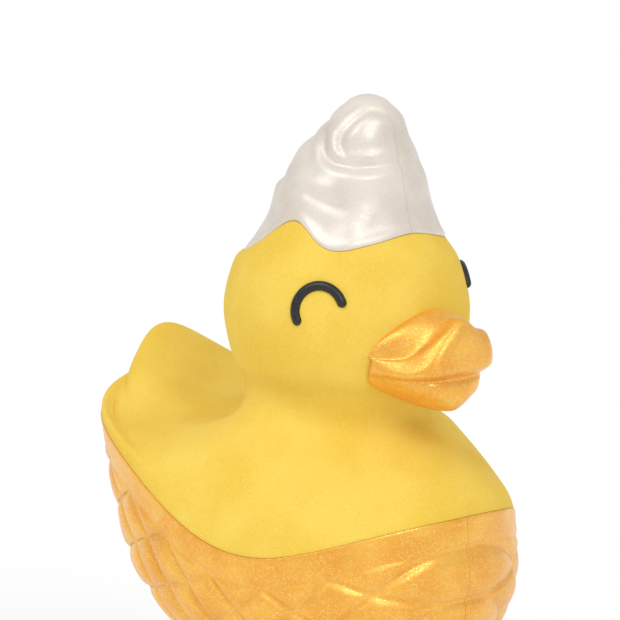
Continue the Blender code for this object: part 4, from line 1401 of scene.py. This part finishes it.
@dataclass
class Canister:
    """The tablet canister, its weighted foot and the screws between them."""

    bore: float = 40.5
    outer: float = 42.9
    floor: tuple[float, float] = (10.2, 15.2)
    top: float = 112.0
    lug_radius: float = 47.4
    lug_z: tuple[float, float] = (61.0, 65.0)
    lug_span: float = 44.0
    foot_radius: float = 47.0
    foot_wall: float = 2.4
    foot_floor: float = 4.0
    foot_height: float = 11.5
    screw_circle: float = 28.0
    screw_count: int = 3
    hole: float = 1.9
    counterbore: float = 3.1
    slot_width: float = 9.0
    slots: SlotPattern = field(default_factory=SlotPattern)

    def places(self) -> list[tuple[float, float]]:
        """The foot screws' places."""
        return on_circle(self.screw_circle, self.screw_count, 90.0)

    def holes(self, radius: float, low: float, high: float) -> BMesh:
        """The cutter for holes where the foot screws are."""
        return gathered([rod(radius, low, high, x, y) for x, y in self.places()])

    def cup(self) -> BMesh:
        """The canister: an open cup with a rolled lip, three lugs and its slots."""
        low, floor = self.floor
        out, bore, top = self.outer, self.bore, self.top
        profile = rounded((
            (0.0, low), (out, low, 1.0), (out, 70.0, 0.3), (out - 0.4, 70.6, 0.3),
            (out - 0.4, top - 3.0, 0.3), (out, top - 2.5, 0.3), (out, top, 0.9), (bore, top, 0.9),
            (bore, floor, 2.0), (0.0, floor),
        ))
        cup = combined(turned(profile), self.slots.cutter(self.slot_width, 0.0))
        low, high = self.lug_z
        reach = self.lug_radius
        section = (
            (out - 0.6, low), (reach - 0.5, low), (reach, low + 0.5), (reach, high - 0.5),
            (reach - 0.5, high), (out - 0.6, high),
        )
        lugs = [turned_part(section, 120.0 * k, self.lug_span) for k in range(3)]
        cup = combined(cup, gathered(lugs), "UNION")
        return combined(cup, self.holes(self.hole, 8.0, 14.0))

    def foot(self) -> BMesh:
        """The foot's tray: a rolled base, a raised band and three counterbored holes."""
        out, high = self.foot_radius, self.foot_height
        inner = out - self.foot_wall
        profile = rounded((
            (0.0, 0.0), (20.0, 0.0, 0.1), (20.4, 0.4, 0.1), (22.0, 0.4, 0.1), (22.4, 0.0, 0.1),
            (36.0, 0.0, 0.1), (36.4, 0.4, 0.1), (38.0, 0.4, 0.1), (38.4, 0.0, 0.1), (out - 0.6, 0.0, 1.6),
            (out, 3.6, 0.4), (out - 0.5, 4.2, 0.3), (out - 0.5, high - 2.6, 0.3), (out, high - 2.0, 0.4),
            (out, high, 0.6), (inner, high, 0.6), (inner, self.foot_floor, 0.8), (0.0, self.foot_floor),
        ))
        wide = self.holes(self.counterbore, -1.0, 2.4)
        return combined(combined(turned(profile), wide), self.holes(self.hole, 1.0, 6.0))

    def build(self, shop: Workshop) -> None:
        """Make the canister, the foot and the screws, and dress the ballast."""
        shop.piece("tablet_canister", self.cup(), WHITE_POLY, Body.FEEDER, ["canister"])
        shop.piece("weighted_foot", self.foot(), BLUE_POLY, Body.FEEDER, ["base_foot"])
        PanScrew().drive(shop, "foot_bolt", "foot_screw", Body.FEEDER, self.places(), (0.4, 2.1, 13.4))
        shop.dress("ballast_disc", ZINC)


@dataclass
class FlowSleeve:
    """The slotted sleeve that opens and closes the canister's slots, with its dose dial."""

    inner: float = 43.4
    outer: float = 45.6
    grip: float = 47.0
    low: float = 11.8
    high: float = 56.4
    flutes: int = 60
    dial_open: float = -11.25
    dial_travel: float = 22.5
    dial_marks: int = 4
    numeral: float = 4.2
    raised: float = 0.16
    numeral_z: float = 23.6
    tick_z: float = 20.6
    pointer_z: float = 6.9
    slot_width: float = 10.0
    slot_margin: float = 0.4
    slots: SlotPattern = field(default_factory=SlotPattern)

    def sleeve(self) -> BMesh:
        """The sleeve with its fluted grip and its slots."""
        out, grip, low = self.outer, self.grip, self.low
        profile = rounded((
            (self.inner, low, 0.3), (grip - 0.2, low, 0.4), (grip, low + 0.9, 0.2), (grip, low + 4.6, 0.3),
            (out, low + 6.4, 0.5), (out, self.high - 1.6, 0.2), (out + 0.35, self.high - 1.2, 0.2),
            (out + 0.35, self.high, 0.4), (self.inner, self.high, 0.4),
        ))
        bm = turned(profile, self.flutes * 6)
        flute(bm, self.flutes, 0.5, grip - 0.4, low + 0.8, low + 4.7)
        return combined(bm, self.slots.cutter(self.slot_width, self.slot_margin))

    def wrap(self, bm: BMesh, bearing: float, height: float, sunk: float = 0.12) -> None:
        """Wrap a flat shape, drawn in X and Y with its thickness in Z, onto the sleeve's wall."""
        for vertex in bm.verts:
            turn = math.radians(bearing) + vertex.co.x / (self.outer * MM)
            reach = (self.outer - sunk) * MM + vertex.co.z
            tall = vertex.co.y + height * MM
            vertex.co = Vector((math.sin(turn) * reach, -math.cos(turn) * reach, tall))

    def numeral_mesh(self, number: int) -> BMesh:
        """One raised numeral, flat and centred."""
        curve = bpy.data.curves.new("numeral", "FONT")
        curve.body = str(number)
        curve.size = self.numeral * MM
        curve.extrude = self.raised * MM
        curve.resolution_u = 6
        curve.align_x = "CENTER"
        drawn = placed("numeral", curve)
        bm = shown_mesh(drawn)
        bpy.data.objects.remove(drawn, do_unlink=True)
        bmesh.ops.remove_doubles(bm, verts=bm.verts, dist=WELD)
        return moved(bm, 0.0, 0.0, self.raised)

    def dial(self) -> BMesh:
        """Numerals and ticks from 0, shut, up to fully open."""
        marks = []
        last = self.dial_marks - 1
        for number in range(self.dial_marks):
            bearing = self.dial_open - self.dial_travel * (1.0 - number / last)
            numeral = self.numeral_mesh(number)
            self.wrap(numeral, bearing, self.numeral_z)
            tick = rounded_box(0.7, 3.0, 0.5, 0.1)
            self.wrap(tick, bearing, self.tick_z)
            marks += [numeral, tick]
        return gathered(marks)

    def build(self, shop: Workshop) -> None:
        """Make the sleeve, its dial, and the pointer on the foot."""
        shop.piece("dose_sleeve", self.sleeve(), BLUE_POLY, Body.SLEEVE, ["flow_sleeve"])
        shop.piece("dose_dial", self.dial(), MARKING, Body.SLEEVE)
        pointer = bmesh.new()
        bmesh.ops.create_cone(
            pointer, cap_ends=True, segments=3, radius1=2.0 * MM, radius2=2.0 * MM, depth=0.9 * MM,
            matrix=Matrix.Rotation(math.radians(90.0), 4, "Z"),
        )
        bmesh.ops.bevel(
            pointer, geom=pointer.edges[:], offset=0.2 * MM,
            affect="EDGES", segments=2, profile=0.5, material=-1,
        )
        self.wrap(pointer, self.dial_open, self.pointer_z, -0.75)
        shop.piece("dose_pointer", pointer, MARKING, Body.FEEDER)


# ---------------------------------------------------------------- studio
@dataclass
class Studio:
    """A pale floor, soft light and a camera low on the duck's right bow."""

    azimuth: float = -42.0
    elevation: float = 10.0
    distance: float = 1500.0
    width_seen: float = 262.16
    aside: float = -10.15
    above_hull: float = 139.5

    @staticmethod
    def stand(name: str, data: bpy.types.ID, place: Vector, back: Vector) -> bpy.types.Object:
        """Put a camera or a lamp in its place, with its back turned to a direction."""
        made = placed(name, data)
        made.location = place
        made.rotation_euler = back.to_track_quat("Z", "Y").to_euler()
        return made

    def camera(self) -> None:
        """Place the camera."""
        back = Vector(direction(self.azimuth, self.elevation))
        right = Vector((0.0, 0.0, 1.0)).cross(back).normalized()
        up = back.cross(right)
        aim = Vector((0.0, 0.0, HULL_Z)) + right * self.aside + up * self.above_hull
        data = bpy.data.cameras.new("camera")
        data.sensor_width = 36.0
        data.lens = data.sensor_width * self.distance / self.width_seen
        data.clip_end = 60.0
        bpy.context.scene.camera = self.stand("camera", data, (aim + back * self.distance) * MM, back)

    def lamp(self, name: str, azimuth: float, elevation: float, spread: float, strength: float) -> None:
        """Set a distant soft lamp, so that the floor is lit evenly; angles are in degrees."""
        way = Vector(direction(azimuth, elevation))
        data = bpy.data.lights.new(name, "SUN")
        data.angle = math.radians(spread)
        data.energy = strength
        self.stand(name, data, way, way)

    def floor(self) -> None:
        """Lay the floor."""
        bm = bmesh.new()
        bmesh.ops.create_circle(bm, cap_ends=True, segments=64, radius=18.0)
        mesh = mesh_of("studio_floor", bm)
        shade = Shade("studio_floor")
        shade.set(base_color=(0.97, 0.97, 0.97), roughness=0.9, specular_ior_level=0.1)
        mesh.materials.append(shade.material)
        placed("studio_floor", mesh)

    def build(self) -> None:
        """Set the camera, the floor and the light."""
        self.camera()
        self.floor()
        world = bpy.data.worlds.new("studio")
        world.use_nodes = True
        sky = world.node_tree.nodes["Background"]
        sky.inputs["Color"].default_value = (1.0, 1.0, 1.0, 1.0)
        sky.inputs["Strength"].default_value = 0.7
        scene = bpy.context.scene
        scene.world = world
        scene.view_settings.view_transform = "Standard"
        self.lamp("key", self.azimuth - 38.0, 52.0, 38.0, 0.95)
        self.lamp("front", self.azimuth + 26.0, 34.0, 26.0, 0.62)


def main() -> None:
    """Build the dispenser and its studio."""
    logging.basicConfig(level=logging.INFO, format="%(name)s: %(message)s")
    Studio().build()
    shop = Workshop()
    for assembly in (
        FloatBody(), WaffleHull(), SwirlCrest(), Bill(), Eyes(),
        Socket(), LockRing(), Canister(), FlowSleeve(),
    ):
        LOG.info("%s", type(assembly).__name__)
        assembly.build(shop)


if __name__ == "__main__":
    main()
